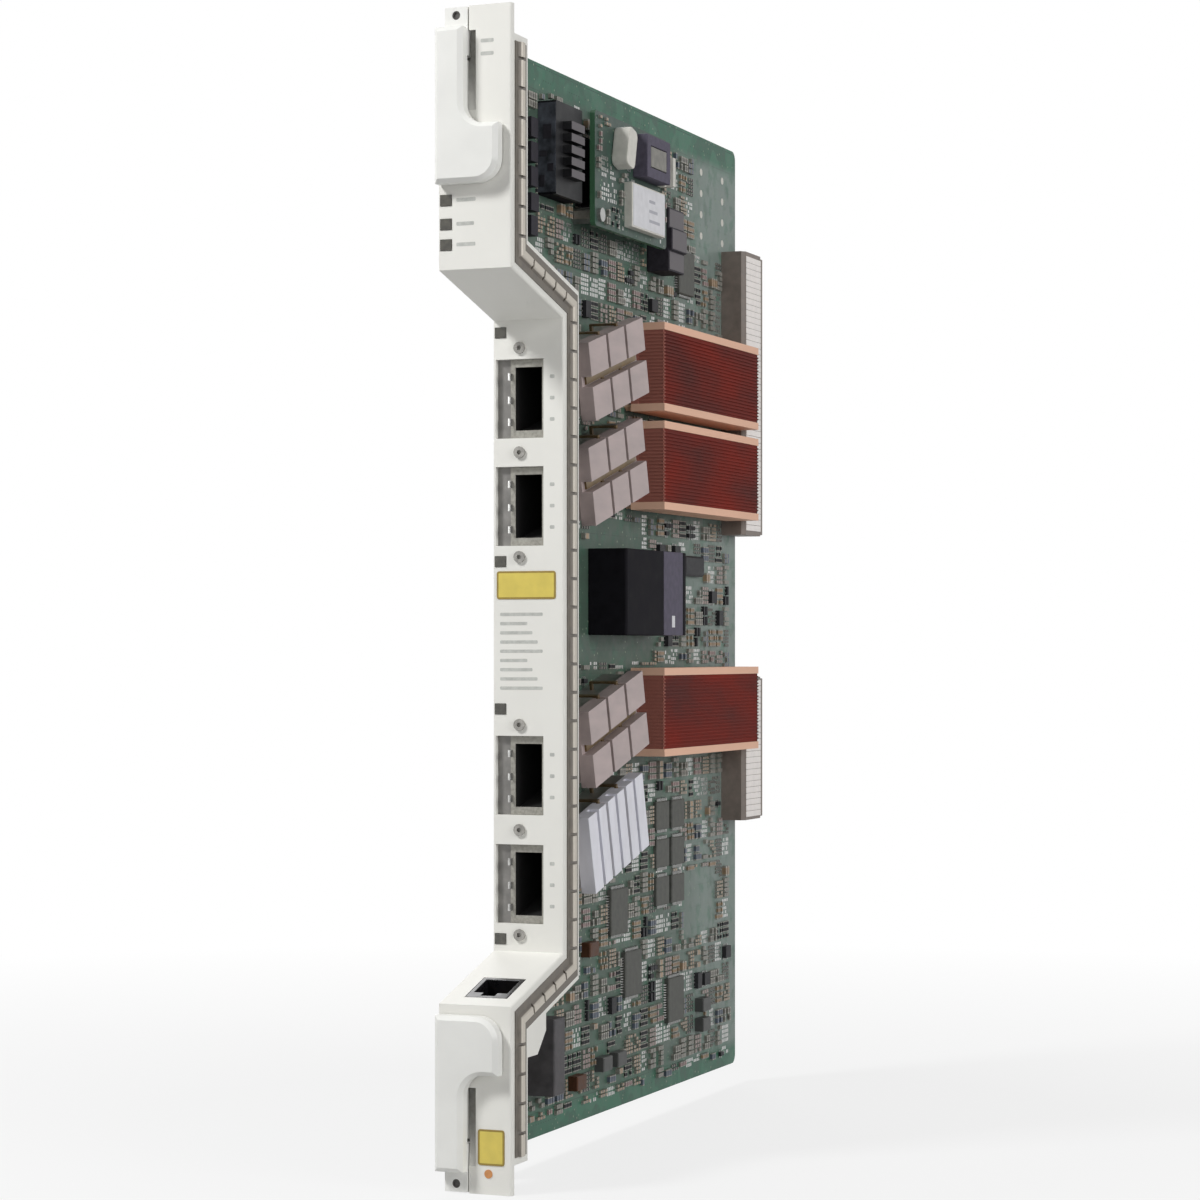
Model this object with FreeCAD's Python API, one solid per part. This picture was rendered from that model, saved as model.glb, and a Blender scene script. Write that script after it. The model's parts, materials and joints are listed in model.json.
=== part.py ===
"""Plug-in optical line card: faceplate with ejector levers, circuit board, cages, heat sinks and connectors.

Working frame: X from the faceplate's left edge to the right, Y from its front to the rear and Z from
its foot up. The finished pieces are moved so that the origin is the middle of the board's lower edge.
All sizes are in millimetres.
"""
import FreeCAD, Part
import math
import os

V = FreeCAD.Vector

# How far a cutting shape runs past what it cuts, and how near counts as touching
overcut = 1.0
near = 1e-3

# Small screws and their holes repeat often, so they have this many flat sides
screw_sides = 12

# Faceplate, its faces and shelves from the foot up
lower_face_height = 51.0
lower_shelf_rise = 11.0
middle_face_height = 178.0
upper_shelf_rise = 10.0
upper_face_height = 71.3
panel_width = 21.5
panel_wall = 1.8
panel_recess = 37.0
flange_depth = 11.0
flange_wall = 1.5
flange_end_gap = 8.0
edge_round = 0.8

# Gusset that ties the flange under the lower shelf
gusset_reach = 13.0
gusset_height = 15.0
gusset_chamfer = 6.0

# Shield finger strip
strip_start = 2.0
strip_width = 7.5
strip_thickness = 0.3
finger_crest = 1.2
finger_width = 3.6
finger_pitch = 8.0
finger_gap = 0.9
strip_end_gap = 2.0

# Circuit board
board_left = 3.1
board_thickness = 2.4
board_setback = 4.0
board_bottom = 7.0
board_top_gap = 5.3
card_depth = 228.6
board_corner = 3.0
lever_notch_depth = 17.0
lever_notch_reach = 11.5

# Ejector levers, measured for the upper one and mirrored for the lower one
lever_pivot_depth = 6.0
lever_pivot_inset = 9.3
lever_proud = 4.5
lever_gap = 0.35
lever_left = 0.3
lever_stem_width = 8.3
lever_pad_width = 18.6
lever_pad_end = 48.3
lever_pad_start = 26.5
lever_stem_end = 6.0
lever_pad_round = 6.5
lever_flare_radius = 6.0
lever_edge = 1.2
lever_shell = 1.5
lever_rib = 1.2
lever_hub_radius = 4.2
lever_root_left = 1.9
lever_root_width = 6.7
lever_swing_gap = 0.3
claw_front = 3.1
claw_slot = 4.0
claw_slot_floor = 4.6
claw_front_tip = 9.0
claw_rear_tip = 7.0
claw_rear_fall = 1.0
claw_rear = 3.2
claw_hole_radius = 1.2
claw_hole_drop = 2.2
pin_radius = 1.25
pin_running_clearance = 0.05
lug_wall = 1.6
lug_inner_wall = 2.0
lug_side_gap = 0.3
lug_radius = 2.5
lug_depth = 11.0
lug_foot = 8.0

# Transceiver bays, from the middle face's top and foot; all but the last lead to a copper heat sink
upper_bay_drops = [22.2, 52.5]
lower_bay_rises = [49.6, 19.0]
bay_has_copper = [True, True, True, False]
port_tilt = 15.0
port_cut_left = 0.6
port_cut_width = 14.6
port_cut_height = 22.3
cage_mouth_setback = 2.2
cage_height = 9.4
cage_width = 19.6
cage_wall = 0.5
cage_length = 72.0
cage_window_start = 28.0
cage_window_length = 34.0
cage_window_width = 14.0
host_length = 9.5
host_height = 5.6
host_width = 15.0
host_rear_gap = 3.0
host_slot = 1.2
host_slot_depth = 5.0
host_slot_margin = 1.0
host_hole_gap = 0.4

# Heat sinks on the cages and their clips
cage_sink_start = 25.0
cage_sink_length = 45.0
cage_sink_width = 23.0
cage_sink_height = 4.6
cage_sink_base = 1.4
block_sink_fins = 3
plain_sink_fins = 6
sink_lane = 3.0
sink_cross_lane = 1.8
sink_pad_gap = 0.4
sink_pad_lift = 0.1
clip_thickness = 0.6
clip_bar = 2.2
clip_arm = 1.4
clip_side_gap = 0.2
clip_leg = 8.0
clip_hook = 0.8
clip_bar_end_gap = 2.0

# Port gasket plates and the screws that hold them
gasket_thickness = 0.6
gasket_left = 0.4
gasket_right = 17.5
gasket_hole_margin = 0.2
gasket_overlap = 19.5
screw_line = 8.0
panel_screw_offset = 14.3
panel_screw_head = 1.7
panel_screw_head_height = 0.7
panel_screw_radius = 1.0
panel_screw_clearance = 0.1
panel_screw_socket = 0.7

# Light pipes
light_width = 3.4
light_height = 3.0
light_left = 0.4
light_proud = 0.2
light_fit = 0.05
light_bar_depth = 1.4
light_bar_margin = 0.9
status_light_drops = [52.4, 58.9, 64.5]
port_light_above = 18.75
port_light_below = 15.55

# Console jack in the lower shelf
jack_width = 12.2
jack_height = 13.6
jack_depth = 18.0
jack_centre_depth = 11.8
jack_wall = 1.2
jack_fit = 0.25
jack_cavity_depth = 13.0
jack_latch_width = 4.0
jack_latch_depth = 2.2

# Copper heat sinks, between the cages and the backplane connectors, with their processors
copper_front_gap = 15.3
copper_rear_gap = 0.9
copper_height = 27.2
copper_rise = 16.3
copper_top = 19.0
copper_base = 2.5
copper_side_plate = 2.3
copper_fins = 20
copper_fin = 0.5
processor_length = 40.0
processor_width = 25.0
processor_height = 2.4
processor_lid = 0.8
processor_lid_margin = 3.0
post_radius = 2.2
post_inset = 2.6
sink_screw_radius = 1.0
sink_screw_fit = 0.1
sink_screw_head = 2.0
sink_screw_head_height = 1.2
sink_screw_grip = 1.2

# Board screws through the faceplate's board tabs
upper_tab_drop = 35.3
middle_tab_rise = 92.0
lower_tab_drop = 21.0
board_tab_width = 9.0
board_tab_length = 13.0
board_tab_thickness = 2.5
board_screw_radius = 1.25
board_screw_fit = 0.1
board_screw_head = 2.4
board_screw_head_height = 1.4
board_screw_inset = 4.0
driver_slot_length = 3.4
driver_slot_width = 0.6
driver_slot_depth = 0.7

# Converter block, with the core between its front part and its end plate
converter_front = 94.7
converter_length = 31.6
converter_core_length = 17.0
converter_end = 3.0
converter_floor = 1.2
converter_lift = 14.9
converter_height = 25.9
converter_rise = 12.5
converter_edge = 0.5

# Power brick and its sink
brick_front = 56.0
brick_length = 20.0
brick_drop = 38.0
brick_height = 27.0
brick_rise = 4.5
brick_sink_rise = 4.0
brick_sink_base = 1.2
brick_fins = 5
brick_fin = 2.3
brick_fin_gap = 1.15
brick_fin_inset = 5.0

# Mezzanine board behind the brick; what stands on it is placed from its front and bottom edges
mezz_gap = 4.0
mezz_length = 60.0
mezz_drop = 44.0
mezz_height = 34.0
mezz_lift = 6.5
mezz_thickness = 1.6
mezz_corner = 0.9
spacer_radius = 2.4
spacer_inset = 3.4
mezz_screw_radius = 1.1
mezz_screw_fit = 0.1
mezz_screw_head = 2.1
mezz_screw_head_height = 1.2
mezz_screw_grip = 4.0
mezz_plug_length = 7.0
mezz_plug_width = 20.0
mezz_plug_offset = 8.5
potted_inset = 24.0
potted_length = 28.0
potted_lift = 2.5
potted_height = 13.5
potted_rise = 2.6
core_inset = 31.0
core_length = 20.0
core_lift = 18.5
core_height = 13.0
core_rise = 4.8
core_leg = 3.2
bobbin_gap = 0.2
terminal_length = 4.5
terminal_height = 9.0
film_inset = 14.0
film_length = 7.0
film_lift = 19.0
film_height = 12.0
film_rise = 5.2
film_round = 2.1
film_lean = 14.0

# Choke behind the mezzanine
choke_gap = 4.0
choke_length = 14.0
choke_drop = 50.0
choke_height = 20.0
choke_rise = 8.5
choke_band = 1.0
choke_band_width = 7.0

# Backplane connectors, which overhang the board's rear edge
plug_rise = 8.3
plug_overhang = 6.2
plug_length = 20.4
plug_nose = 4.0
plug_nose_step = 0.6
plug_rows = 4
plug_slot = 0.9
plug_slot_depth = 2.5
plug_slot_margin = 1.6
plug_chamfer = 1.2
upper_plug_drop = 35.4
upper_plug_height = 95.0
lower_plug_rise = 83.0
lower_plug_height = 48.0

# Smaller parts on the board: front, bottom, length, height, rise
filter_block = (47.0, 20.0, 8.0, 22.0, 9.0)
filter_edge = 0.6
memory_size = (11.5, 9.0, 1.2)
memory_places = [(150.0, 66.0), (164.0, 66.0), (150.0, 78.0), (164.0, 78.0), (150.0, 90.0), (164.0, 90.0)]
logic_size = (14.0, 14.0, 1.6)
logic_places = [(122.0, 40.0), (160.0, 28.0), (110.0, 60.0), (170.0, 262.0), (150.0, 160.0)]
tantalum_size = (7.3, 4.3, 3.1)
tantalum_places = [(89.0, 55.5), (79.0, 17.0), (188.5, 22.0), (188.5, 28.5), (100.0, 20.0), (112.0, 20.0)]
part_edge = 0.3

# Worked out from the sizes above
middle_face_bottom = lower_face_height + lower_shelf_rise
middle_face_top = middle_face_bottom + middle_face_height
upper_face_bottom = middle_face_top + upper_shelf_rise
panel_height = upper_face_bottom + upper_face_height
board_face = board_left + board_thickness
board_top = panel_height - board_top_gap
upper_ports = [middle_face_top - drop for drop in upper_bay_drops]
lower_ports = [middle_face_bottom + rise for rise in lower_bay_rises]
port_heights = upper_ports + lower_ports
status_light_heights = [panel_height - drop for drop in status_light_drops]
port_light_heights = []
for pair in (upper_ports, lower_ports):
    port_light_heights += [max(pair) + port_light_above, min(pair) - port_light_below]
board_tab_heights = [
    panel_height - upper_tab_drop,
    middle_face_bottom + middle_tab_rise,
    lower_face_height - lower_tab_drop,
]
cage_rear = panel_recess + cage_mouth_setback + cage_length * math.cos(math.radians(port_tilt))
plug_front = card_depth + plug_overhang - plug_length
upper_plug_bottom = board_top - upper_plug_drop - upper_plug_height
lower_plug_bottom = board_bottom + lower_plug_rise
copper_front = cage_rear + copper_front_gap
copper_length = plug_front - copper_rear_gap - copper_front
converter_bottom = (min(upper_ports) + max(lower_ports) - converter_height) / 2 + converter_lift
brick_bottom = board_top - brick_drop
mezz_front = brick_front + brick_length + mezz_gap
mezz_bottom = board_top - mezz_drop
mezz_top_face = board_face + mezz_lift + mezz_thickness
potted_front = mezz_front + potted_inset
potted_bottom = mezz_bottom + potted_lift
core_front = mezz_front + core_inset
core_bottom = mezz_bottom + core_lift
film_front = mezz_front + film_inset
film_bottom = mezz_bottom + film_lift
choke_front = mezz_front + mezz_length + choke_gap
choke_bottom = board_top - choke_drop
path = [
    (0.0, 0.0),
    (0.0, lower_face_height),
    (panel_recess, middle_face_bottom),
    (panel_recess, middle_face_top),
    (0.0, upper_face_bottom),
    (0.0, panel_height),
]
origin = V(board_left + board_thickness / 2, (lever_notch_depth + card_depth) / 2, board_bottom)


def block(x, y, z, dx, dy, dz):
    """Box from its lowest corner and its three lengths."""
    return Part.makeBox(dx, dy, dz, V(x, y, z))


def rod(radius, length, base, direction=V(1, 0, 0)):
    """Round bar from its base point."""
    return Part.makeCylinder(radius, length, base, direction)


def flat_sided(sides, radius, length, base, direction=V(1, 0, 0)):
    """Bar with equal flat sides from its base point, by the radius of its corners."""
    turns = [2 * math.pi * i / sides for i in range(sides)]
    corners = [V(radius * math.cos(turn), radius * math.sin(turn), 0) for turn in turns]
    bar = Part.Face(Part.makePolygon(corners + corners[:1])).extrude(V(0, 0, length))
    bar.Placement = FreeCAD.Placement(base, FreeCAD.Rotation(V(0, 0, 1), direction))
    return bar


def hex_bar(radius, length, base, direction=V(1, 0, 0)):
    """Six-sided bar from its base point."""
    return flat_sided(6, radius, length, base, direction)


def screw_rod(radius, length, base, direction=V(1, 0, 0)):
    """Shank, head or hole of a small screw from its base point."""
    return flat_sided(screw_sides, radius, length, base, direction)


def side_prism(points, x, width):
    """Prism along X from a closed outline of (y, z) points."""
    corners = [V(x, y, z) for y, z in points]
    outline = Part.makePolygon(corners + corners[:1])
    return Part.Face(outline).extrude(V(width, 0, 0))


def rounded(shape, radius, choose):
    """The shape with a fillet on the edges that choose picks."""
    return shape.makeFillet(radius, [edge for edge in shape.Edges if choose(edge)])


def chamfered(shape, size, choose):
    """The shape with a chamfer on the edges that choose picks."""
    return shape.makeChamfer(size, [edge for edge in shape.Edges if choose(edge)])


def along(edge, axis):
    """Whether a straight edge runs along the axis numbered 0, 1 or 2."""
    ends = [vertex.Point for vertex in edge.Vertexes]
    if len(ends) < 2:
        return False
    return abs((ends[1] - ends[0])[axis]) > edge.Length - 1e-6


def save(name, shape):
    """Moves a piece to the card's origin and writes it."""
    placed = shape.copy()
    placed.translate(origin * -1)
    placed.exportStep(f"parts/{name}.step")


def mitres(points):
    """For each point of the faceplate's side line, the step that lies one unit behind the line."""
    normals = []
    for (y0, z0), (y1, z1) in zip(points, points[1:]):
        length = math.hypot(y1 - y0, z1 - z0)
        normals.append(((z1 - z0) / length, (y0 - y1) / length))
    steps = [normals[0]]
    for (ay, az), (by, bz) in zip(normals, normals[1:]):
        share = 1 + ay * by + az * bz
        steps.append(((ay + by) / share, (az + bz) / share))
    return steps + [normals[-1]]


def set_back(points, distance):
    """The side line moved behind itself by a distance."""
    return [(y + distance * sy, z + distance * sz) for (y, z), (sy, sz) in zip(points, mitres(points))]


def swept(section, points):
    """Solid of a closed section of (setback, x) corners carried along the side line with mitred corners."""
    rings = []
    for (y, z), (sy, sz) in zip(points, mitres(points)):
        rings.append([V(x, y + back * sy, z + back * sz) for back, x in section])
    faces = [Part.Face(Part.makePolygon(ring + ring[:1])) for ring in (rings[0], rings[-1])]
    for low, high in zip(rings, rings[1:]):
        for i in range(len(section)):
            j = (i + 1) % len(section)
            quad = [low[i], low[j], high[j], high[i], low[i]]
            faces.append(Part.Face(Part.makePolygon(quad)))
    solid = Part.makeSolid(Part.makeShell(faces))
    if solid.Volume < 0:
        solid.reverse()
    return solid


def mirrored(shape):
    """The shape at the card's other end."""
    return shape.mirror(V(0, 0, panel_height / 2), V(0, 0, 1))


def at_port(shape, height):
    """Turns a piece modelled along +Y from a bay's mouth to the bay's slant and place."""
    placed = shape.copy()
    placed.rotate(V(0, 0, 0), V(1, 0, 0), port_tilt)
    placed.translate(V(0, panel_recess + cage_mouth_setback, height))
    return placed


def shelf_frame():
    """Turn of the lower shelf from level, in degrees, and the jack's middle on its face."""
    angle = math.degrees(math.atan2(lower_shelf_rise, panel_recess))
    height = lower_face_height + lower_shelf_rise * jack_centre_depth / panel_recess
    return angle, V(board_face + jack_width / 2, jack_centre_depth, height)


def on_shelf(shape):
    """Turns a piece modelled below the level plane Z = 0 to the lower shelf."""
    angle, middle = shelf_frame()
    placed = shape.copy()
    placed.rotate(V(0, 0, 0), V(1, 0, 0), angle)
    placed.translate(middle)
    return placed


def panel_screw_heights():
    """Heights of the panel screws: outside each pair of bays, and between the two."""
    heights = []
    for high, low in (upper_ports, lower_ports):
        heights += [high + panel_screw_offset, (high + low) / 2, low - panel_screw_offset]
    return heights


def pivot():
    """Middle of the upper lever's hinge, at X = 0."""
    return V(0, lever_pivot_depth, panel_height - lever_pivot_inset)


def hinge_lug(x, width):
    """Upright lug with a rounded head that carries one end of the upper lever's pin."""
    centre = pivot()
    foot = centre.z - lug_foot
    post = block(x, panel_wall / 2, foot, width, centre.y + lug_radius - panel_wall / 2, lug_foot)
    head = rod(lug_radius, width, V(x, centre.y, centre.z))
    web = block(x, panel_wall / 2, foot, width, centre.y - panel_wall / 2, lug_foot + lug_radius)
    return post.fuse([head, web]).removeSplitter()


def swing_relief():
    """What is cut off the outer lug's front corner so that the lever's back can swing past it."""
    centre = pivot()
    reach = centre.y + lever_gap - lever_swing_gap
    width = lug_wall + overcut
    corner = block(-overcut, -overcut, centre.z, width, centre.y + overcut, lever_pivot_inset)
    return corner.cut(rod(reach, width, V(-overcut, centre.y, centre.z)))


def faceplate():
    """Cast faceplate: front wall, side flange, hinge lugs, board tabs and every cut-out."""
    inside = panel_width - flange_wall
    quarter = [math.radians(angle) for angle in (90, 60, 30, 0)]
    corner = [
        (edge_round * (1 - math.sin(a)), panel_width - edge_round * (1 - math.cos(a))) for a in quarter
    ]
    section = [(0, 0)] + corner
    section += [(flange_depth, panel_width), (flange_depth, inside), (panel_wall, inside), (panel_wall, 0)]
    body = swept(section, path)
    for foot in (0, panel_height - flange_end_gap):
        body = body.cut(block(inside, panel_wall, foot, flange_wall, flange_depth, flange_end_gap))
    under = lower_face_height - gusset_height
    rear = flange_depth + gusset_reach
    gusset = side_prism(
        [
            (flange_depth - flange_wall, under),
            (rear - gusset_chamfer, under),
            (rear, under + gusset_chamfer),
            (rear, lower_face_height),
            (flange_depth - flange_wall, lower_face_height),
        ],
        inside,
        flange_wall,
    )
    above_shelf = [(-gusset_height, 0), (-gusset_height, panel_width), (0, panel_width), (0, 0)]
    gusset = gusset.cut(swept(above_shelf, path))
    notch_right = lever_root_left + lever_root_width + lug_side_gap
    notch_foot = pivot().z - lug_foot + lug_radius
    lug_top = pivot().z + lug_radius
    added = [gusset]
    for end in (lambda shape: shape, mirrored):
        added.append(end(hinge_lug(0, lug_wall)))
        added.append(end(hinge_lug(notch_right, lug_inner_wall)))
    for height in board_tab_heights:
        face = panel_recess if middle_face_bottom < height < middle_face_top else 0.0
        added.append(
            block(
                board_face,
                face + panel_wall / 2,
                height - board_tab_width / 2,
                board_tab_thickness,
                board_tab_length + panel_wall / 2,
                board_tab_width,
            )
        )
    body = body.fuse(added).removeSplitter()
    through = panel_wall + 2 * overcut
    slot = block(lug_wall, -overcut, notch_foot, notch_right - lug_wall, through, panel_height)
    above_lugs = block(
        -overcut, -overcut, lug_top, notch_right + overcut, lug_depth + overcut, panel_height
    )
    pin_hole = rod(pin_radius, panel_width, V(-overcut, pivot().y, pivot().z))
    cuts = []
    for piece in (slot, above_lugs, swing_relief(), pin_hole):
        cuts += [piece, mirrored(piece)]
    for height in port_heights:
        cuts.append(
            block(
                port_cut_left,
                panel_recess - overcut,
                height - port_cut_height / 2,
                port_cut_width,
                through,
                port_cut_height,
            )
        )
    for height in panel_screw_heights():
        hole = panel_screw_radius + panel_screw_clearance
        cuts.append(screw_rod(hole, through, V(screw_line, panel_recess - overcut, height), V(0, 1, 0)))
    for face, heights in ((0.0, status_light_heights), (panel_recess, port_light_heights)):
        for height in heights:
            cuts.append(light_rod(face, height, -overcut, panel_wall + overcut, light_fit))
    jack_hole = block(
        -jack_width / 2 - jack_fit,
        -jack_height / 2 - jack_fit,
        -through,
        jack_width + 2 * jack_fit,
        jack_height + 2 * jack_fit,
        2 * through,
    )
    cuts.append(on_shelf(jack_hole))
    for height in board_tab_heights:
        cuts.append(board_screw_hole(height, board_screw_radius))
    return body.cut(cuts)


def shield_strip():
    """Spring strip on the flange: a flat foot with a row of raised fingers."""
    rear = strip_start + strip_width
    middle = strip_start + strip_width / 2
    low = panel_width + strip_thickness
    high = panel_width + finger_crest
    slope = finger_width / 4
    section = [
        (strip_start, panel_width),
        (strip_start, low),
        (middle - finger_width / 2, low),
        (middle - finger_width / 2 + slope, high),
        (middle + finger_width / 2 - slope, high),
        (middle + finger_width / 2, low),
        (rear, low),
        (rear, panel_width),
    ]
    foot = flange_end_gap + strip_end_gap
    line = [(0.0, foot)] + path[1:-1] + [(0.0, panel_height - foot)]
    strip = swept(section, line)
    crest = set_back(line, middle)
    gaps = []
    for (y0, z0), (y1, z1) in zip(crest, crest[1:]):
        length = math.hypot(y1 - y0, z1 - z0)
        turn = -math.degrees(math.atan2(y1 - y0, z1 - z0))
        count = int((length - finger_pitch) // finger_pitch) + 1
        first = (length - (count - 1) * finger_pitch) / 2
        for i in range(count):
            reach = (first + i * finger_pitch) / length
            gap = block(low, -finger_width, -finger_gap / 2, finger_crest, 2 * finger_width, finger_gap)
            gap.rotate(V(0, 0, 0), V(1, 0, 0), turn)
            gap.translate(V(0, y0 + reach * (y1 - y0), z0 + reach * (z1 - z0)))
            gaps.append(gap)
    return strip.cut(gaps)


def lever_outline():
    """Front outline of the upper lever's arm: a stem that flares into a thumb pad with a round corner."""
    top = panel_height - lever_stem_end
    flare = panel_height - lever_pad_start
    end = panel_height - lever_pad_end
    stem_right = lever_left + lever_stem_width
    pad_right = lever_left + lever_pad_width
    r = lever_pad_round
    f = lever_flare_radius
    diagonal = math.sqrt(0.5)

    def point(x, z):
        return V(x, -lever_proud, z)

    edges = [
        Part.LineSegment(point(lever_left, top), point(stem_right, top)),
        Part.LineSegment(point(stem_right, top), point(stem_right, flare)),
        Part.Arc(
            point(stem_right, flare),
            point(stem_right + f - f * diagonal, flare - f * diagonal),
            point(stem_right + f, flare - f),
        ),
        Part.LineSegment(point(stem_right + f, flare - f), point(pad_right, flare - f)),
        Part.LineSegment(point(pad_right, flare - f), point(pad_right, end + r)),
        Part.Arc(
            point(pad_right, end + r),
            point(pad_right - r + r * diagonal, end + r - r * diagonal),
            point(pad_right - r, end),
        ),
        Part.LineSegment(point(pad_right - r, end), point(lever_left, end)),
        Part.LineSegment(point(lever_left, end), point(lever_left, top)),
    ]
    return Part.Wire([edge.toShape() for edge in edges])


def upper_lever():
    """Moulded lever: hollow-backed thumb pad, stem, hinge hub and the claw that grips the shelf's rail."""
    depth = lever_proud - lever_gap
    arm = Part.Face(lever_outline()).extrude(V(0, depth, 0))
    arm = chamfered(arm, lever_edge, lambda edge: edge.BoundBox.YMax < -lever_proud + near)
    end = panel_height - lever_pad_end
    flare = panel_height - lever_pad_start - lever_flare_radius
    pocket = block(
        lever_left + lever_shell,
        -lever_proud + lever_shell,
        end + lever_shell,
        lever_pad_width - 2 * lever_shell,
        depth,
        flare - end - 2 * lever_shell,
    )
    corner = V(lever_left + lever_pad_width - lever_shell, 0, end + lever_shell)

    def at_round_corner(edge):
        middle = edge.CenterOfMass
        return along(edge, 1) and math.hypot(middle.x - corner.x, middle.z - corner.z) < near

    pocket = rounded(pocket, lever_pad_round - lever_shell, at_round_corner)
    rib = block(
        lever_left + lever_pad_width / 2 - lever_rib / 2,
        -lever_proud,
        end,
        lever_rib,
        lever_proud,
        flare - end,
    )
    arm = arm.cut(pocket.cut(rib))
    centre = pivot()
    front = lever_shell - lever_proud - centre.y
    claw = -lever_gap - centre.y
    head = panel_height - lever_stem_end - centre.z
    slot = claw + claw_front
    profile = [
        (front, head),
        (claw, head),
        (claw, claw_front_tip),
        (slot, claw_front_tip),
        (slot, claw_slot_floor),
        (slot + claw_slot, claw_slot_floor),
        (slot + claw_slot, claw_rear_tip),
        (claw_rear, claw_rear_tip - claw_rear_fall),
        (lever_hub_radius, 0),
        (0, 0),
        (0, -lever_hub_radius),
        (front, -lever_hub_radius),
    ]
    profile = [(centre.y + y, centre.z + z) for y, z in profile]
    root = side_prism(profile, lever_root_left, lever_root_width)
    hub = rod(lever_hub_radius, lever_root_width, V(lever_root_left, centre.y, centre.z))
    bore = rod(pin_radius + pin_running_clearance, panel_width, V(-overcut, centre.y, centre.z))
    eye_height = centre.z + claw_front_tip - claw_hole_drop
    eye = rod(
        claw_hole_radius,
        claw_front + 2 * overcut,
        V(lever_root_left + lever_root_width / 2, centre.y + claw - overcut, eye_height),
        V(0, 1, 0),
    )
    return arm.fuse([root, hub]).removeSplitter().cut([bore, eye])


def lever_pin():
    """Steel pin of the upper lever, pressed into both lugs."""
    inner = lever_root_left + lever_root_width + lug_side_gap + lug_inner_wall
    return rod(pin_radius, inner, pivot())


def light_rod(face, height, front, rear, extra=0.0):
    """Window of a light pipe through a face of the panel, from front to rear of that face."""
    return block(
        light_left - extra,
        face + front,
        height - light_height / 2 - extra,
        light_width + 2 * extra,
        rear - front,
        light_height + 2 * extra,
    )


def light_pipe(face, heights):
    """Clear moulding with a window at each height, joined by a bar behind the panel."""
    low = min(heights) - light_height / 2 - light_bar_margin
    high = max(heights) + light_height / 2 + light_bar_margin
    bar = block(light_left, face + panel_wall, low, board_left - light_left, light_bar_depth, high - low)
    windows = [light_rod(face, height, -light_proud, panel_wall + light_bar_depth / 2) for height in heights]
    return bar.fuse(windows).removeSplitter()


def circuit_board():
    """Board whose front edge follows the faceplate, with notches for the claws and its screw holes."""
    front = set_back(path, board_setback)
    front[0] = (front[0][0], board_bottom)
    front[-1] = (front[-1][0], board_top)
    outline = front + [(card_depth, board_top), (card_depth, board_bottom)]
    board = side_prism(outline, board_left, board_thickness)
    rear = card_depth - near
    board = rounded(board, board_corner, lambda edge: along(edge, 0) and edge.BoundBox.YMin > rear)
    notch_bottom = pivot().z - lever_notch_reach
    notch = block(0, 0, notch_bottom, panel_width, lever_notch_depth, panel_height - notch_bottom)
    cuts = [notch, mirrored(notch)]
    for height in board_tab_heights:
        cuts.append(board_screw_hole(height, board_screw_radius + board_screw_fit))
    for centre in copper_heights():
        for y, z in post_places(centre):
            cuts.append(screw_rod(sink_screw_radius + sink_screw_fit, panel_width, V(0, y, z)))
    return board.cut(cuts)


def board_screw_place(height):
    """Middle of a board screw, at X = 0."""
    face = panel_recess if middle_face_bottom < height < middle_face_top else 0.0
    return V(0, face + panel_wall + board_tab_length - board_screw_inset, height)


def board_screw_hole(height, radius):
    """Hole along X at a board screw."""
    return screw_rod(radius, board_face + board_tab_thickness + overcut, board_screw_place(height))


def board_screws():
    """Screws from the solder side through the board into the faceplate's tabs."""
    screws = []
    for height in board_tab_heights:
        place = board_screw_place(height) + V(board_left - board_screw_head_height, 0, 0)
        head = screw_rod(board_screw_head, board_screw_head_height, place)
        shank_length = board_screw_head_height + board_thickness + board_tab_thickness
        shank = screw_rod(board_screw_radius, shank_length, place)
        cross = []
        for dy, dz in ((driver_slot_length, driver_slot_width), (driver_slot_width, driver_slot_length)):
            cross.append(block(place.x, place.y - dy / 2, place.z - dz / 2, driver_slot_depth, dy, dz))
        screws.append(head.fuse(shank).removeSplitter().cut(cross))
    return Part.makeCompound(screws)


def cage():
    """Folded sheet cage: open mouth, window for the sink's pad, hole over the host connector."""
    half = cage_width / 2
    shell = block(board_face, 0, -half, cage_height, cage_length, cage_width)
    inner = block(
        board_face + cage_wall,
        0,
        -half + cage_wall,
        cage_height - 2 * cage_wall,
        cage_length - cage_wall,
        cage_width - 2 * cage_wall,
    )
    window = block(
        board_face + cage_height - 2 * cage_wall,
        cage_window_start,
        -cage_window_width / 2,
        4 * cage_wall,
        cage_window_length,
        cage_window_width,
    )
    host_hole = block(
        board_face - cage_wall,
        cage_length - host_rear_gap - host_length - host_hole_gap,
        -host_width / 2 - host_hole_gap,
        3 * cage_wall,
        host_length + 2 * host_hole_gap,
        host_width + 2 * host_hole_gap,
    )
    return shell.cut([inner, window, host_hole])


def host_connector():
    """Card-edge socket on the board inside the back of a cage."""
    front = cage_length - host_rear_gap - host_length
    body = block(board_face, front, -host_width / 2, host_height, host_length, host_width)
    slot = block(
        board_face + host_height / 2,
        front,
        -host_width / 2 + host_slot_margin,
        host_slot,
        host_slot_depth,
        host_width - 2 * host_slot_margin,
    )
    return body.cut(slot)


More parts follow.
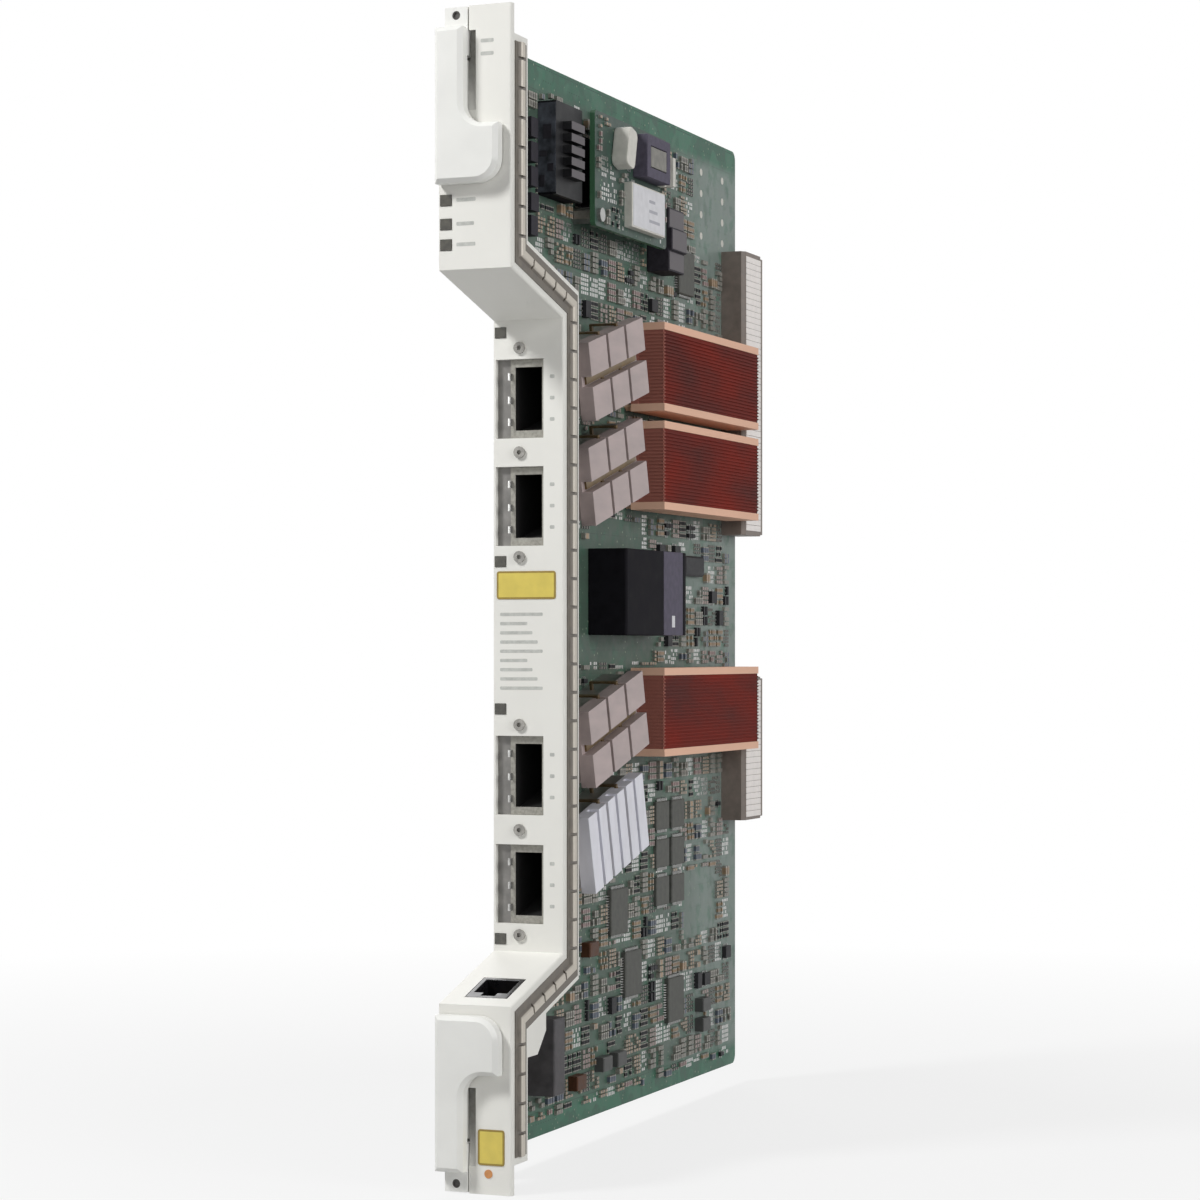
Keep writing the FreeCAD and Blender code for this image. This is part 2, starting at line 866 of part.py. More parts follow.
def cage_sink(split):
    """Cage heat sink: blocks on a base with lanes for the clip, and a pad that reaches into the window."""
    foot = board_face + cage_height
    side = -cage_sink_width / 2
    body = block(foot, cage_sink_start, side, cage_sink_height, cage_sink_length, cage_sink_width)
    lanes = []
    if split:
        lanes.append(
            block(
                foot + cage_sink_base,
                cage_sink_start,
                -sink_lane / 2,
                cage_sink_height,
                cage_sink_length,
                sink_lane,
            )
        )
    fins = block_sink_fins if split else plain_sink_fins
    for i in range(1, fins):
        y = cage_sink_start + cage_sink_length * i / fins
        lanes.append(
            block(
                foot + cage_sink_base,
                y - sink_cross_lane / 2,
                side,
                cage_sink_height,
                sink_cross_lane,
                cage_sink_width,
            )
        )
    body = body.cut(lanes)
    pad = block(
        foot - cage_wall + sink_pad_lift,
        cage_window_start + sink_pad_gap,
        -cage_window_width / 2 + sink_pad_gap,
        cage_wall,
        cage_window_length - 2 * sink_pad_gap,
        cage_window_width - 2 * sink_pad_gap,
    )
    return body.fuse(pad).removeSplitter()


def clip_arm_places():
    """Distance of the clip's two arms from the mouth, each in a lane between two blocks."""
    return [cage_sink_start + cage_sink_length * i / block_sink_fins for i in (1, block_sink_fins - 1)]


def cage_clip(split):
    """Spring clip: two arms across the sink with hooked legs, joined by a bar where the sink is split."""
    foot = board_face + cage_height + cage_sink_base
    outer = cage_sink_width / 2 + clip_side_gap
    reach = outer + clip_thickness
    low = foot - clip_leg
    arms = []
    for y in clip_arm_places():
        arm_y = y - clip_arm / 2
        arm = block(foot, arm_y, -reach, clip_thickness, clip_arm, 2 * reach)
        legs = []
        for side in (-1, 1):
            leg_z = outer if side > 0 else -reach
            legs.append(block(low, arm_y, leg_z, clip_leg, clip_arm, clip_thickness))
            hook_z = cage_width / 2 if side > 0 else -reach
            legs.append(block(low, arm_y, hook_z, clip_hook, clip_arm, reach - cage_width / 2))
        arms.append(arm.fuse(legs).removeSplitter())
    if not split:
        return Part.makeCompound(arms)
    bar_length = cage_sink_length - 2 * clip_bar_end_gap
    start = cage_sink_start + clip_bar_end_gap
    bar = block(foot, start, -clip_bar / 2, clip_thickness, bar_length, clip_bar)
    return bar.fuse(arms).removeSplitter()


def gasket_plate(heights):
    """Spring-steel plate behind the panel with a window for each cage of a pair."""
    high = max(heights) + gasket_overlap
    low = min(heights) - gasket_overlap
    rear = panel_recess + panel_wall
    plate = block(gasket_left, rear, low, gasket_right - gasket_left, gasket_thickness, high - low)
    slant = math.cos(math.radians(port_tilt))
    above = cage_width / 2 / slant + gasket_hole_margin
    below = (cage_width / 2 - cage_wall) / slant + gasket_hole_margin / 2
    cuts = []
    for height in heights:
        cuts.append(
            block(
                board_face - gasket_hole_margin,
                rear,
                height - below,
                cage_height + 2 * gasket_hole_margin,
                gasket_thickness,
                above + below,
            )
        )
    for height in panel_screw_heights():
        cuts.append(screw_rod(panel_screw_radius, gasket_thickness, V(screw_line, rear, height), V(0, 1, 0)))
    for height in port_light_heights:
        cuts.append(
            block(
                gasket_left,
                rear,
                height - light_height / 2 - 2 * light_bar_margin,
                board_left - gasket_left + light_bar_margin,
                gasket_thickness,
                light_height + 4 * light_bar_margin,
            )
        )
    return plate.cut(cuts)


def panel_screws():
    """Small socket screws that hold the gasket plates."""
    screws = []
    for height in panel_screw_heights():
        base = V(screw_line, panel_recess - panel_screw_head_height, height)
        head = screw_rod(panel_screw_head, panel_screw_head_height, base, V(0, 1, 0))
        shank_length = panel_screw_head_height + panel_wall + gasket_thickness
        shank = screw_rod(panel_screw_radius, shank_length, base, V(0, 1, 0))
        socket = hex_bar(panel_screw_socket, panel_screw_head_height, base, V(0, 1, 0))
        screws.append(head.fuse(shank).removeSplitter().cut(socket))
    return Part.makeCompound(screws)


def console_jack():
    """Modular jack: open cavity with a latch slot, set square to the lower shelf."""
    body = block(-jack_width / 2, -jack_height / 2, -jack_depth, jack_width, jack_height, jack_depth)
    cavity = block(
        -jack_width / 2 + jack_wall,
        -jack_height / 2 + jack_wall + jack_latch_depth,
        -jack_cavity_depth,
        jack_width - 2 * jack_wall,
        jack_height - 2 * jack_wall - jack_latch_depth,
        jack_cavity_depth,
    )
    latch = block(
        -jack_latch_width / 2,
        -jack_height / 2 + jack_wall,
        -jack_cavity_depth,
        jack_latch_width,
        jack_latch_depth,
        jack_cavity_depth,
    )
    return on_shelf(body.cut([cavity, latch]))


def copper_heights():
    """Middle heights of the copper heat sinks, each level with the back of its cage."""
    return [height + copper_rise for height, copper in zip(port_heights, bay_has_copper) if copper]


def post_places(centre):
    """The two (y, z) places of a copper sink's posts, at opposite corners."""
    z_reach = copper_height / 2 - post_inset
    rear = copper_front + copper_length
    return [(copper_front + post_inset, centre - z_reach), (rear - post_inset, centre + z_reach)]


def copper_sink(centre):
    """Copper heat sink: base on two hexagonal posts, two side plates and thin fins along the card."""
    foot = board_face + processor_height
    low = centre - copper_height / 2
    base = block(foot, copper_front, low, copper_base, copper_length, copper_height)
    pieces = []
    rise = copper_top - foot
    for z in (low, low + copper_height - copper_side_plate):
        pieces.append(block(foot, copper_front, z, rise, copper_length, copper_side_plate))
    inside = copper_height - 2 * copper_side_plate
    pitch = inside / (copper_fins + 1)
    for i in range(copper_fins):
        z = low + copper_side_plate + (i + 1) * pitch - copper_fin / 2
        pieces.append(block(foot, copper_front, z, rise, copper_length, copper_fin))
    bores = []
    for y, z in post_places(centre):
        pieces.append(hex_bar(post_radius, processor_height + copper_base, V(board_face, y, z)))
        bores.append(screw_rod(sink_screw_radius, processor_height + sink_screw_grip, V(board_face, y, z)))
    return base.fuse(pieces).removeSplitter().cut(bores)


def processor(centre):
    """Chip package with a raised metal lid."""
    middle = copper_front + copper_length / 2
    body = block(
        board_face,
        middle - processor_length / 2,
        centre - processor_width / 2 + post_inset,
        processor_height - processor_lid,
        processor_length,
        processor_width - 2 * post_inset,
    )
    lid = block(
        board_face + processor_height - processor_lid,
        middle - processor_length / 2 + processor_lid_margin,
        centre - processor_width / 2 + post_inset + processor_lid_margin,
        processor_lid,
        processor_length - 2 * processor_lid_margin,
        processor_width - 2 * post_inset - 2 * processor_lid_margin,
    )
    return body.fuse(lid).removeSplitter()


def sink_screws():
    """Screws from the solder side into the copper sinks' posts."""
    screws = []
    for centre in copper_heights():
        for y, z in post_places(centre):
            base = V(board_left - sink_screw_head_height, y, z)
            length = sink_screw_head_height + board_thickness + processor_height + sink_screw_grip
            head = hex_bar(sink_screw_head, sink_screw_head_height, base)
            screws.append(head.fuse(screw_rod(sink_screw_radius, length, base)).removeSplitter())
    return Part.makeCompound(screws)


def converter():
    """Moulded converter block: front part, floor under the core and end plate behind it."""
    whole = converter_length + converter_core_length + converter_end
    body = block(board_face, converter_front, converter_bottom, converter_rise, whole, converter_height)
    top = board_face + converter_rise - near
    body = chamfered(body, converter_edge, lambda edge: edge.BoundBox.XMin > top and along(edge, 2))
    seat = block(
        board_face + converter_floor,
        converter_front + converter_length,
        converter_bottom,
        converter_rise,
        converter_core_length,
        converter_height,
    )
    return body.cut(seat)


def converter_core():
    """Ferrite core in the converter block's seat."""
    return block(
        board_face + converter_floor,
        converter_front + converter_length,
        converter_bottom,
        converter_rise - converter_floor,
        converter_core_length,
        converter_height,
    )


def brick():
    """Power brick: a flat potted block."""
    body = block(board_face, brick_front, brick_bottom, brick_rise, brick_length, brick_height)
    return chamfered(body, part_edge, lambda edge: along(edge, 0))


def brick_sink():
    """Heat sink on the power brick: a plate with a row of short thick fins in its middle."""
    foot = board_face + brick_rise
    base = block(foot, brick_front, brick_bottom, brick_sink_base, brick_length, brick_height)
    pitch = brick_fin + brick_fin_gap
    first = brick_bottom + (brick_height - brick_fins * pitch + brick_fin_gap) / 2
    front = brick_front + brick_fin_inset
    length = brick_length - 2 * brick_fin_inset
    fins = [block(foot, front, first + i * pitch, brick_sink_rise, length, brick_fin) for i in range(brick_fins)]
    return base.fuse(fins).removeSplitter()


def mezz_corners():
    """The two (y, z) places of the mezzanine's spacers, at opposite corners."""
    low = (mezz_front + spacer_inset, mezz_bottom + spacer_inset)
    high = (mezz_front + mezz_length - spacer_inset, mezz_bottom + mezz_height - spacer_inset)
    return [low, high]


def mezz_board():
    """Raised daughter board."""
    foot = board_face + mezz_lift
    board = block(foot, mezz_front, mezz_bottom, mezz_thickness, mezz_length, mezz_height)
    board = chamfered(board, mezz_corner, lambda edge: along(edge, 0))
    hole = mezz_screw_radius + mezz_screw_fit
    holes = [screw_rod(hole, mezz_lift + mezz_thickness, V(board_face, y, z)) for y, z in mezz_corners()]
    return board.cut(holes)


def mezz_spacers():
    """Hexagonal threaded spacers between the two boards."""
    spacers = []
    for y, z in mezz_corners():
        post = hex_bar(spacer_radius, mezz_lift, V(board_face, y, z))
        floor = V(board_face + mezz_lift - mezz_screw_grip, y, z)
        bore = screw_rod(mezz_screw_radius, mezz_screw_grip, floor)
        spacers.append(post.cut(bore))
    return Part.makeCompound(spacers)


def mezz_screws():
    """Screws that hold the mezzanine to its spacers."""
    length = mezz_screw_grip + mezz_thickness + mezz_screw_head_height
    tip = mezz_top_face - mezz_thickness - mezz_screw_grip
    screws = []
    for y, z in mezz_corners():
        head = screw_rod(mezz_screw_head, mezz_screw_head_height, V(mezz_top_face, y, z))
        shank = screw_rod(mezz_screw_radius, length, V(tip, y, z))
        screws.append(head.fuse(shank).removeSplitter())
    return Part.makeCompound(screws)


def mezz_plug():
    """Board-to-board plug under the mezzanine."""
    z = mezz_bottom + (mezz_height - mezz_plug_width) / 2
    y = mezz_front + mezz_plug_offset
    body = block(board_face, y, z, mezz_lift, mezz_plug_length, mezz_plug_width)
    return chamfered(body, part_edge, lambda edge: along(edge, 0))


def potted_block():
    """Potted block on the mezzanine."""
    body = block(mezz_top_face, potted_front, potted_bottom, potted_rise, potted_length, potted_height)
    return rounded(body, part_edge, lambda edge: edge.BoundBox.XMin > mezz_top_face + potted_rise - near)


def transformer_core():
    """Ferrite core of the transformer: a frame with an open window for the bobbin."""
    body = block(mezz_top_face, core_front, core_bottom, core_rise, core_length, core_height)
    window = block(
        mezz_top_face,
        core_front + core_leg,
        core_bottom + core_leg,
        core_rise,
        core_length - 2 * core_leg,
        core_height - 2 * core_leg,
    )
    return body.cut(window)


def transformer_bobbin():
    """Winding bobbin inside the core's window."""
    body = block(
        mezz_top_face,
        core_front + core_leg + bobbin_gap,
        core_bottom + core_leg + bobbin_gap,
        core_rise,
        core_length - 2 * core_leg - 2 * bobbin_gap,
        core_height - 2 * core_leg - 2 * bobbin_gap,
    )
    return rounded(body, part_edge, lambda edge: edge.BoundBox.XMin > mezz_top_face + core_rise - near)


def terminal_strip():
    """Pale terminal strip behind the transformer."""
    y = core_front + core_length + bobbin_gap
    body = block(mezz_top_face, y, core_bottom, core_rise, terminal_length, terminal_height)
    shelf = mezz_top_face + core_rise / 2
    step = block(shelf, y, core_bottom, core_rise, terminal_length / 2, terminal_height)
    return body.cut(step)


def film_capacitor():
    """Oblong film capacitor that leans on its leads."""
    body = block(0, -film_length / 2, -film_height / 2, film_rise, film_length, film_height)
    body = rounded(body, film_round, lambda edge: along(edge, 0))
    body.rotate(V(0, 0, 0), V(1, 0, 0), -film_lean)
    body.translate(V(mezz_top_face, film_front + film_length / 2, film_bottom + film_height / 2))
    return body


def choke():
    """Square choke with a raised band."""
    body_rise = choke_rise - choke_band
    body = block(board_face, choke_front, choke_bottom, body_rise, choke_length, choke_height)
    band_bottom = choke_bottom + (choke_height - choke_band_width) / 2
    band = block(board_face, choke_front, band_bottom, choke_rise, choke_length, choke_band_width)
    return body.fuse(band).removeSplitter()


def backplane_plug(bottom, height):
    """Right-angle backplane connector with a stepped nose and long contact slots in its mating face."""
    body = block(board_face, plug_front, bottom, plug_rise, plug_length - plug_nose, height)

    def at_front_top(edge):
        box = edge.BoundBox
        return along(edge, 2) and box.YMax < plug_front + near and box.XMin > board_face + near

    body = chamfered(body, plug_chamfer, at_front_top)
    nose = block(
        board_face + plug_nose_step,
        plug_front + plug_length - plug_nose,
        bottom + plug_nose_step,
        plug_rise - 2 * plug_nose_step,
        plug_nose,
        height - 2 * plug_nose_step,
    )
    pitch = (plug_rise - 2 * plug_nose_step) / (plug_rows + 1)
    slots = []
    for i in range(plug_rows):
        slots.append(
            block(
                board_face + plug_nose_step + (i + 1) * pitch - plug_slot / 2,
                plug_front + plug_length - plug_slot_depth,
                bottom + plug_slot_margin,
                plug_slot,
                plug_slot_depth,
                height - 2 * plug_slot_margin,
            )
        )
    return body.fuse(nose).removeSplitter().cut(slots)


def line_filter():
    """Block-shaped line filter near the lower shelf."""
    front, bottom, length, height, rise = filter_block
    body = block(board_face, front, bottom, rise, length, height)
    return rounded(body, filter_edge, lambda edge: edge.BoundBox.XMin > board_face + rise - near)


def chip_group(size, places):
    """Equal chip bodies with chamfered tops at (y, z) places on the board."""
    length, height, rise = size
    bodies = []
    for y, z in places:
        body = block(board_face, y, z, rise, length, height)
        bodies.append(chamfered(body, part_edge, lambda edge: edge.BoundBox.XMin > board_face + rise - near))
    return Part.makeCompound(bodies)


def main():
    """Builds every piece of the card and writes it."""
    os.makedirs("parts", exist_ok=True)
    save("faceplate", faceplate())
    save("shield_finger_strip", shield_strip())
    lever = upper_lever()
    save("upper_ejector_lever", lever)
    save("lower_ejector_lever", mirrored(lever))
    save("upper_lever_pin", lever_pin())
    save("lower_lever_pin", mirrored(lever_pin()))
    save("status_light_pipe", light_pipe(0.0, status_light_heights))
    save("port_light_pipes", Part.makeCompound([light_pipe(panel_recess, [z]) for z in port_light_heights]))
    save("circuit_board", circuit_board())
    save("board_screws", board_screws())
    save("panel_screws", panel_screws())
    save("upper_port_gasket", gasket_plate(upper_ports))
    save("lower_port_gasket", gasket_plate(lower_ports))
    save("console_jack", console_jack())
    for number, (height, split) in enumerate(zip(port_heights, bay_has_copper), 1):
        save(f"transceiver_cage_{number}", at_port(cage(), height))
        save(f"host_connector_{number}", at_port(host_connector(), height))
        save(f"cage_heat_sink_{number}", at_port(cage_sink(split), height))
        save(f"cage_clip_{number}", at_port(cage_clip(split), height))
    for number, centre in enumerate(copper_heights(), 1):
        save(f"copper_heat_sink_{number}", copper_sink(centre))
        save(f"processor_{number}", processor(centre))
    save("heat_sink_screws", sink_screws())
    save("converter_block", converter())
    save("converter_core", converter_core())
    save("power_brick", brick())
    save("brick_heat_sink", brick_sink())
    save("mezzanine_board", mezz_board())
    save("mezzanine_spacers", mezz_spacers())
    save("mezzanine_screws", mezz_screws())
    save("mezzanine_plug", mezz_plug())
    save("potted_block", potted_block())
    save("transformer_core", transformer_core())
    save("transformer_bobbin", transformer_bobbin())
    save("terminal_strip", terminal_strip())
    save("film_capacitor", film_capacitor())
    save("choke", choke())
    save("upper_backplane_connector", backplane_plug(upper_plug_bottom, upper_plug_height))
    save("lower_backplane_connector", backplane_plug(lower_plug_bottom, lower_plug_height))
    save("line_filter", line_filter())
    save("memory_chips", chip_group(memory_size, memory_places))
    save("logic_chips", chip_group(logic_size, logic_places))
    save("tantalum_capacitors", chip_group(tantalum_size, tantalum_places))


main()
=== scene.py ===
"""Looks of the plug-in optical line card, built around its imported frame.

On the card a size times MM is in metres and a bare size is in millimetres. The studio is in metres.
"""
import json
import logging
import math
import random
from contextlib import contextmanager
from dataclasses import dataclass
from enum import Enum
from functools import cached_property
from typing import Callable, Iterator, NamedTuple

import bmesh
import bpy
from bpy.types import Material, NodeSocket, NodeTree, Object, ShaderNode
from mathutils import Euler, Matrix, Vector
from mathutils.bvhtree import BVHTree

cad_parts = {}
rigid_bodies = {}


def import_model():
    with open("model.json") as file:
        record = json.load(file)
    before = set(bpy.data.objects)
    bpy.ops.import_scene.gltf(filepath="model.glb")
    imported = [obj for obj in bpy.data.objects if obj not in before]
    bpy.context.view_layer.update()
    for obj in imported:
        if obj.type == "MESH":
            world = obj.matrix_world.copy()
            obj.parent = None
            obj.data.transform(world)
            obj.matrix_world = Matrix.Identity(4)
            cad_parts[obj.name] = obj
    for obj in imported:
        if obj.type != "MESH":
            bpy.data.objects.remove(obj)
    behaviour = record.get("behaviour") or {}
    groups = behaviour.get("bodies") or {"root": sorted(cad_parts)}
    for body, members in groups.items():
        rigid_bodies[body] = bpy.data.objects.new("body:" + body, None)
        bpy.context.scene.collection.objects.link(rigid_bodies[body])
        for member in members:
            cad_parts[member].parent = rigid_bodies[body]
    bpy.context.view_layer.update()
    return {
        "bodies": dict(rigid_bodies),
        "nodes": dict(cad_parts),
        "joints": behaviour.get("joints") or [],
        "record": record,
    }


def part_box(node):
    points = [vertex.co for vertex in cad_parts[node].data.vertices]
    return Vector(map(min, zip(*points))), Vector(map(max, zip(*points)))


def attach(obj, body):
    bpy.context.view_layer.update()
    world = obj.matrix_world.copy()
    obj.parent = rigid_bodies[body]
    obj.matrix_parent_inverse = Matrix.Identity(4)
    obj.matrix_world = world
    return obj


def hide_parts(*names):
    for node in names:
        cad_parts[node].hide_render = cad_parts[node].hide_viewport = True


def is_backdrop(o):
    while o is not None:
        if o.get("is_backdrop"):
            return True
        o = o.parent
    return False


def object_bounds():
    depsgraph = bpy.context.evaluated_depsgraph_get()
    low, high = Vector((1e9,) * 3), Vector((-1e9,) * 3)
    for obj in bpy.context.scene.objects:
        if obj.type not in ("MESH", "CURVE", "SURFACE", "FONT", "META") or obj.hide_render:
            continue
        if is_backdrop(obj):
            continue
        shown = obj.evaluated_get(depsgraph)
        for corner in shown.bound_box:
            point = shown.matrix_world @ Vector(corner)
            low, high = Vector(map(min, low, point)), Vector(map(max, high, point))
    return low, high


log = logging.getLogger("line_card")

MM = 0.001
MERGE = 0.001 * MM
FLAT = math.radians(0.5)
CREASE = math.radians(35)
SQUARE_ON = 0.9
CONNECTORS = ("upper_backplane_connector", "lower_backplane_connector")
PORT_HEIGHTS = (217.8, 187.5, 111.6, 81.0)
LOGIC_PLACES = ((122.0, 40.0), (160.0, 28.0), (110.0, 60.0), (170.0, 262.0), (150.0, 160.0))
MEMORY_PLACES = tuple((y, z) for z in (66.0, 78.0, 90.0) for y in (150.0, 164.0))

Colour = tuple[int, int, int]
Pair = tuple[float, float]
Triple = tuple[float, float, float]
Box = tuple[float, float, float, float]

EVEN: Triple = (1.0, 1.0, 1.0)
ALONG_X: Triple = (0.0, math.pi / 2, 0.0)
ALONG_Y: Triple = (math.pi / 2, 0.0, 0.0)
ALONG_Z: Triple = (0.0, 0.0, 0.0)
TO_RIGHT = Vector((1.0, 0.0, 0.0))
TO_FRONT = Vector((0.0, -1.0, 0.0))
TO_REAR = Vector((0.0, 1.0, 0.0))
UP = Vector((0.0, 0.0, 1.0))


def linear(rgb: Colour, level: float = 1.0) -> tuple[float, float, float, float]:
    """Turns a display colour into the shader's linear colour.

    Args:
        rgb: Red, green and blue from 0 to 255.
        level: Brightness factor on the display values.

    Returns:
        The linear colour with full opacity.
    """
    parts = []
    for part in rgb:
        share = min(part * level / 255, 1.0)
        parts.append(share / 12.92 if share <= 0.04045 else ((share + 0.055) / 1.055) ** 2.4)
    return (parts[0], parts[1], parts[2], 1.0)


class Graph:
    """A node tree, with short calls for the nodes that the finishes and the studio use."""

    def __init__(self, tree: NodeTree) -> None:
        """Takes the tree to add to."""
        self.tree = tree

    @cached_property
    def spot(self) -> NodeSocket:
        """The surface's Object coordinates."""
        return self.node("TexCoord").outputs["Object"]

    def feed(self, socket: NodeSocket, value: object) -> None:
        """Gives a socket a constant, or links another node's output to it.

        Args:
            socket: The input to fill.
            value: A number, a colour or an output socket.
        """
        if isinstance(value, NodeSocket):
            self.tree.links.new(value, socket)
        else:
            socket.default_value = value

    def node(self, kind: str, **inputs: object) -> ShaderNode:
        """Adds a node and fills its inputs.

        Args:
            kind: The node's type, without its prefix.
            inputs: A value for each input, by its name with _ for a space.

        Returns:
            The node.
        """
        node = self.tree.nodes.new(f"ShaderNode{kind}")
        for name, value in inputs.items():
            self.feed(node.inputs[name.replace("_", " ")], value)
        return node

    def placed(self, stretch: Triple, turn: Triple = ALONG_Z) -> NodeSocket:
        """Object coordinates with a factor on each axis and turned, in radians."""
        return self.node("Mapping", Vector=self.spot, Scale=stretch, Rotation=turn).outputs["Vector"]

    def noise(self, size: float, detail: float = 3.0, stretch: Triple = EVEN) -> NodeSocket:
        """Noise with features of one size, some octaves finer, drawn out where the stretch is below 1."""
        where = self.placed(stretch)
        return self.node("TexNoise", Vector=where, Scale=1 / (size * MM), Detail=detail).outputs["Fac"]

    def cells(self, spacing: float, scatter: float) -> NodeSocket:
        """Distance from points, on a square grid with scatter 0 and at random places with 1."""
        node = self.node("TexVoronoi", Vector=self.spot, Scale=1 / (spacing * MM), Randomness=scatter)
        return node.outputs["Distance"]

    def lines(self, length: float, pitch: float, width: float, turn: Triple) -> NodeSocket:
        """Thin lines in a staggered rectangular pattern.

        Args:
            length: Distance between cross lines.
            pitch: Distance between long lines.
            width: Line width as a share of the pitch.
            turn: Rotation of the pattern in radians.

        Returns:
            1 on a line and 0 beside it.
        """
        node = self.node(
            "TexBrick", Vector=self.placed(EVEN, turn), Scale=1.0, Brick_Width=length * MM,
            Row_Height=pitch * MM, Mortar_Size=width * pitch * MM, Mortar_Smooth=0.2,
        )
        return node.outputs["Fac"]

    def ramp(
        self, value: object, low: float, high: float, start: float = 0.0, end: float = 1.0
    ) -> NodeSocket:
        """Maps a span of a value to another span, held at its ends.

        Args:
            value: The output to map.
            low: Value that maps to start.
            high: Value that maps to end.
            start: Result at low.
            end: Result at high.

        Returns:
            The mapped value.
        """
        node = self.node("MapRange", Value=value, From_Min=low, From_Max=high, To_Min=start, To_Max=end)
        return node.outputs["Result"]

    def span(self, letter: str, low: float, high: float, start: float = 0.0, end: float = 1.0) -> NodeSocket:
        """A ramp along one axis, between two places on it."""
        return self.ramp(self.axis(letter), low * MM, high * MM, start, end)

    def blend(self, share: object, first: object, second: object) -> NodeSocket:
        """Mixes two colours.

        Args:
            share: 0 for the first colour, 1 for the second.
            first: A colour or an output.
            second: A colour or an output.

        Returns:
            The mixed colour.
        """
        node = self.node("Mix")
        node.data_type = "RGBA"
        for index, value in ((0, share), (6, first), (7, second)):
            self.feed(node.inputs[index], value)
        return node.outputs[2]

    def sum(self, kind: str, first: object, second: object = 0.0) -> NodeSocket:
        """Works out one sum of two values.

        Args:
            kind: The sum's name, such as MULTIPLY.
            first: A number or an output.
            second: A number or an output.

        Returns:
            The result.
        """
        node = self.node("Math")
        node.operation = kind
        self.feed(node.inputs[0], first)
        self.feed(node.inputs[1], second)
        return node.outputs["Value"]

    def axis(self, letter: str) -> NodeSocket:
        """One Object coordinate, by its letter."""
        return self.node("SeparateXYZ", Vector=self.spot).outputs[letter]

    def facing(self, letter: str) -> NodeSocket:
        """How squarely the surface faces along one axis, from 0 to 1."""
        normal = self.node("NewGeometry").outputs["Normal"]
        return self.sum("ABSOLUTE", self.node("SeparateXYZ", Vector=normal).outputs[letter])

    def bump(self, height: object, depth: float) -> NodeSocket:
        """The normal of a surface that is bumped by a height value to a depth."""
        return self.node("Bump", Strength=0.6, Distance=depth * MM, Height=height).outputs["Normal"]


@dataclass(frozen=True)
class Finish:
    """A surface's colour, gloss and grain."""

    colour: Colour
    rough: float = 0.5
    metal: float = 0.0
    wander: float = 0.05
    patch: float = 6.0
    grain: float = 0.4
    depth: float = 0.02
    stretch: Triple = EVEN
    coat: float = 0.0
    shine: float = 0.5
    gloss_span: float = 0.08

    def material(self, name: str) -> Material:
        """Makes the material, or finds the one made before.

        Args:
            name: The finish's name.

        Returns:
            The finish's material.
        """
        found = bpy.data.materials.get(f"{name}_finish")
        if found is None:
            found = bpy.data.materials.new(f"{name}_finish")
            found.use_nodes = True
            graph = Graph(found.node_tree)
            drift = graph.noise(self.patch, 4.0, self.stretch)
            self.cover(graph, self.tint(graph, drift), drift)
        return found

    def tint(self, graph: Graph, drift: NodeSocket) -> NodeSocket:
        """The surface's colour, which wanders a little.

        Args:
            graph: The material's graph.
            drift: Noise that the colour follows.

        Returns:
            The colour output.
        """
        low = linear(self.colour, 1 - self.wander)
        high = linear(self.colour, 1 + self.wander)
        return graph.blend(graph.ramp(drift, 0.3, 0.7), low, high)

    def cover(self, graph: Graph, tint: NodeSocket, drift: NodeSocket) -> None:
        """Sets the surface shader.

        Args:
            graph: The material's graph.
            tint: The colour output.
            drift: Noise that the gloss follows.
        """
        least = max(self.rough - self.gloss_span, 0.05)
        most = min(self.rough + self.gloss_span, 1.0)
        grain = graph.noise(self.grain, 2.0, self.stretch)
        surface = graph.tree.nodes["Principled BSDF"].inputs
        for name, value in (
            ("Base Color", tint),
            ("Metallic", self.metal),
            ("Coat Weight", self.coat),
            ("Specular IOR Level", self.shine),
            ("Roughness", graph.ramp(drift, 0.25, 0.75, least, most)),
            ("Normal", graph.bump(grain, self.depth)),
        ):
            graph.feed(surface[name], value)


